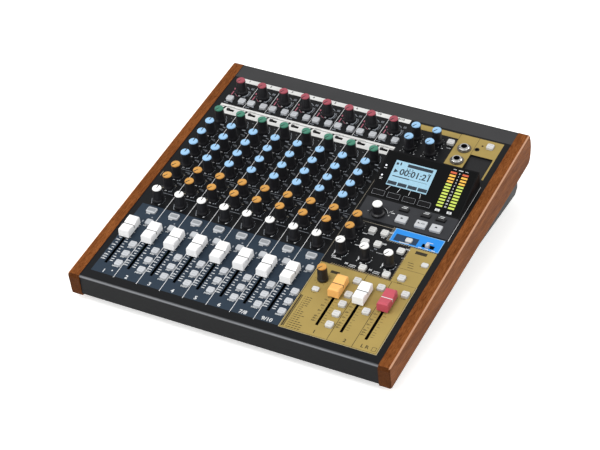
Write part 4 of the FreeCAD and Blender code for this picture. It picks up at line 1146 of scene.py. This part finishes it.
def display_legends():
    """Marks on the window: leader lines, meter numbers, side marks and rims round the keys."""
    ink = Print("display_legends", "white_print", DISPLAY, 0.02)
    names = Print("meter_names", "dark_print", DISPLAY, 0.04)
    for k, x in enumerate(KEY_X):
        top = (LCD[0] + (k + 0.5) * (LCD[1] - LCD[0]) / 4, LCD[2] - 0.6)
        ink.line((top[0] - 2.6 + 1.2 * k, 11.4), top, 0.4)
    levels = ["50", "40", "30", "20", "16", "12", "9", "6", "4", "2", "1", "0"]
    middle = sum(METER_X) / 2
    for level, y in zip(levels, METER_ROWS):
        ink.text(level, middle, y, 1.7)
    for x, side in zip(METER_X, "LR"):
        ink.shape(rounded(x - 2.5, x + 2.5, 2.8, 5.6, 0.5))
        names.text(side, x, 4.2, 2.0)
        ink.bar(x, 53.4, 3.4, 0.5)
    ink.bar(middle, 53.4, 4.6, 0.9)
    ink.bar(HOUSING_X + 5.0, 23.6, 3.2, 0.7)
    ink.bar(HOUSING_X + 4.6, 22.2, 2.4, 0.6)
    ink.bar(HOUSING_X + 5.0, 35.6, 3.2, 0.7)
    ink.add()
    names.add()
    rims = Print("key_rims", "rim_print", DISPLAY, 0.02)
    for x in KEY_X:
        rims.box(x - 6.5, x + 6.5, KEY_ROW - 2.9, KEY_ROW + 2.9)
    rims.add()


def shelf_legends():
    """White marks on the housing's shelf and the dark signs on the transport keys."""
    ink = Print("shelf_legends", "white_print", SHELF, 0.02)
    x, y = ENCODER[0], ENCODER[1] - SHELF_FRONT
    ink.line((x + 9.6, y + 5.2), (x + 13.0, y + 8.4), 0.4)
    ink.arc(x, y, 9.8, 20, 70)
    ink.text("+", x + 11.0, y + 1.0, 2.4)
    ink.text("-", x - 11.0, y + 1.0, 2.4)
    ink.bar(x + 14.0, y + 5.4, 4.0, 0.8)
    for x in MODE_X:
        ink.bar(x, MODE_ROW + 4.6, 5.0, 0.8)
    ink.add()


def key_signs():
    """Dark stop, play and record signs on the white keys."""
    lift = raised(SHELF, KEY_TOP + 0.02)
    y = TRANSPORT_ROW
    stop = Print("stop_sign", "pointer", lift, 0.02, "stop_key", "white")
    stop.bar(TRANSPORT_X[0], y, 2.2, 2.2)
    play = Print("play_sign", "pointer", lift, 0.02, "play_key", "white")
    x = TRANSPORT_X[1]
    play.shape([(x - 3.4, y - 1.3), (x - 1.0, y), (x - 3.4, y + 1.3)])
    play.line((x - 0.2, y - 1.4), (x + 0.8, y + 1.4), 0.4)
    for step in (2.0, 3.2):
        play.bar(x + step, y, 0.6, 2.4)
    record = Print("record_sign", "pointer", lift, 0.02, "record_key", "white")
    record.disc(TRANSPORT_X[2], y, 1.3)
    for sign in (stop, play, record):
        sign.add()


def mode_key_marks():
    """Short strokes along the rear edges of the small black keys."""
    ink = Print("mode_key_marks", "white_print", raised(SHELF, KEY_TOP), 0.04, "mode_keys", "white")
    for x in MODE_X:
        strokes(ink, x, MODE_ROW + 1.1, 6.0, 1.2)
    ink.add()


display_glass()
display_inserts()
screen_marks()
display_legends()
shelf_legends()
key_signs()
mode_key_marks()


# Rear panel, seen from behind: x runs the other way, and y is the height over the row of inputs

INPUT_LINE = -52.0
JACK_LINE = 29.0
ROCKER_X = -138.0
INLET_X = -112.0
SIGN_LINE = -9.0
DATA_X = -88.0


def rear_legends():
    """Numbers over the rear sockets, and plain marks beside the power inlet and its rocker."""
    ink = Print("rear_legends", "white_print", REAR @ Matrix.Translation((0, INPUT_LINE, 0)), 0.02)
    for k, x in enumerate(COLUMNS):
        ink.text(str(k + 1), -x, 14.4, 4.2)
        ink.line((-x - 11.4, 17.6), (-x + 11.4, 17.6))
    for k, x in enumerate(COLUMNS[3:] + MASTERS[:1]):
        ink.text(str(k + 1), -x, JACK_LINE + 9.4, 3.0)
        ink.line((-x - 9.0, JACK_LINE - 9.4), (-x + 9.0, JACK_LINE - 9.4), 0.3)
    ink.text("ON", ROCKER_X, 13.4, 2.8)
    ink.text("OFF", ROCKER_X, -13.4, 2.8)
    ink.text("12", INLET_X, 8.6, 2.8)
    ink.disc(INLET_X, SIGN_LINE, 0.6)
    ink.arc(INLET_X, SIGN_LINE, 1.6, 120, 420)
    ink.lines(INLET_X, SIGN_LINE, [(-5.6, 0, -1.6, 0, 0.3), (0, 0, 5.6, 0, 0.3)])
    ink.text("+", INLET_X + 7.4, SIGN_LINE, 2.4)
    ink.text("-", INLET_X - 7.4, SIGN_LINE, 2.4)
    ink.box(DATA_X - 6.4, DATA_X + 6.4, -3.6, 3.6)
    ink.add()


rear_legends()


# Floor, light and background

def add_stage():
    """A wide pale floor that keeps the mixer's shadow, seen white under a white world."""
    finish = Finish("floor_paint", 0.9)
    finish.colour("#f2f2f0", 0.01, 3.0).bump(finish.noise(60.0), 0.02)
    finish.give("Emission Color", (1, 1, 1, 1))
    lift = finish.math("MULTIPLY", seen_directly(finish), FLOOR_LIFT)
    finish.give("Emission Strength", lift)
    corners = [(i * FLOOR_HALF, j * FLOOR_HALF, 0) for i, j in SQUARE]
    mesh = new_mesh("floor", corners, [(0, 1, 2, 3)])
    mesh.materials.append(finish.material)
    floor = bpy.data.objects.new("floor", mesh)
    link(floor)


def seen_directly(nodes):
    """1 for a ray from the camera, a mirror or glass, and 0 for one that only lights."""
    path = nodes.node("LightPath").outputs
    seen = nodes.math("MAXIMUM", path["Is Camera Ray"], path["Is Glossy Ray"])
    return nodes.math("MAXIMUM", seen, path["Is Transmission Ray"])


def add_world():
    """White where it is seen, and softer as a light."""
    world = bpy.data.worlds.new("studio")
    world.use_nodes = True
    bpy.context.scene.world = world
    background = Nodes(world.node_tree, "BACKGROUND")
    strength = background.between(seen_directly(background), WORLD_STRENGTH, 1.0)
    background.give("Strength", strength)
    background.give("Color", (1, 1, 1, 1))


def add_lamp(name, place, size, power):
    """A square soft lamp that faces the mixer."""
    data = bpy.data.lights.new(name, "AREA")
    data.size = size
    data.energy = power
    lamp = bpy.data.objects.new(name, data)
    lamp.location = place
    lamp.rotation_euler = (LAMP_TARGET - Vector(place)).to_track_quat("-Z", "Y").to_euler()
    link(lamp)


FLOOR_HALF = 12.0
FLOOR_LIFT = 0.53
WORLD_STRENGTH = 0.6
LAMP_TARGET = Vector((0, 0, 0.05))
add_stage()
add_world()
add_lamp("key_lamp", (-0.3, -1.05, 1.9), 0.9, 20)
add_lamp("front_lamp", (-0.72, -0.95, 0.66), 0.3, 3.6)
add_lamp("side_lamp", (1.8, -0.6, 1.1), 0.9, 2.6)
add_lamp("rim_lamp", (1.4, 1.3, 1.2), 0.8, 9)
add_lamp("left_lamp", (-1.9, -0.62, 0.72), 0.5, 4)
bpy.context.scene.view_settings.view_transform = "Standard"
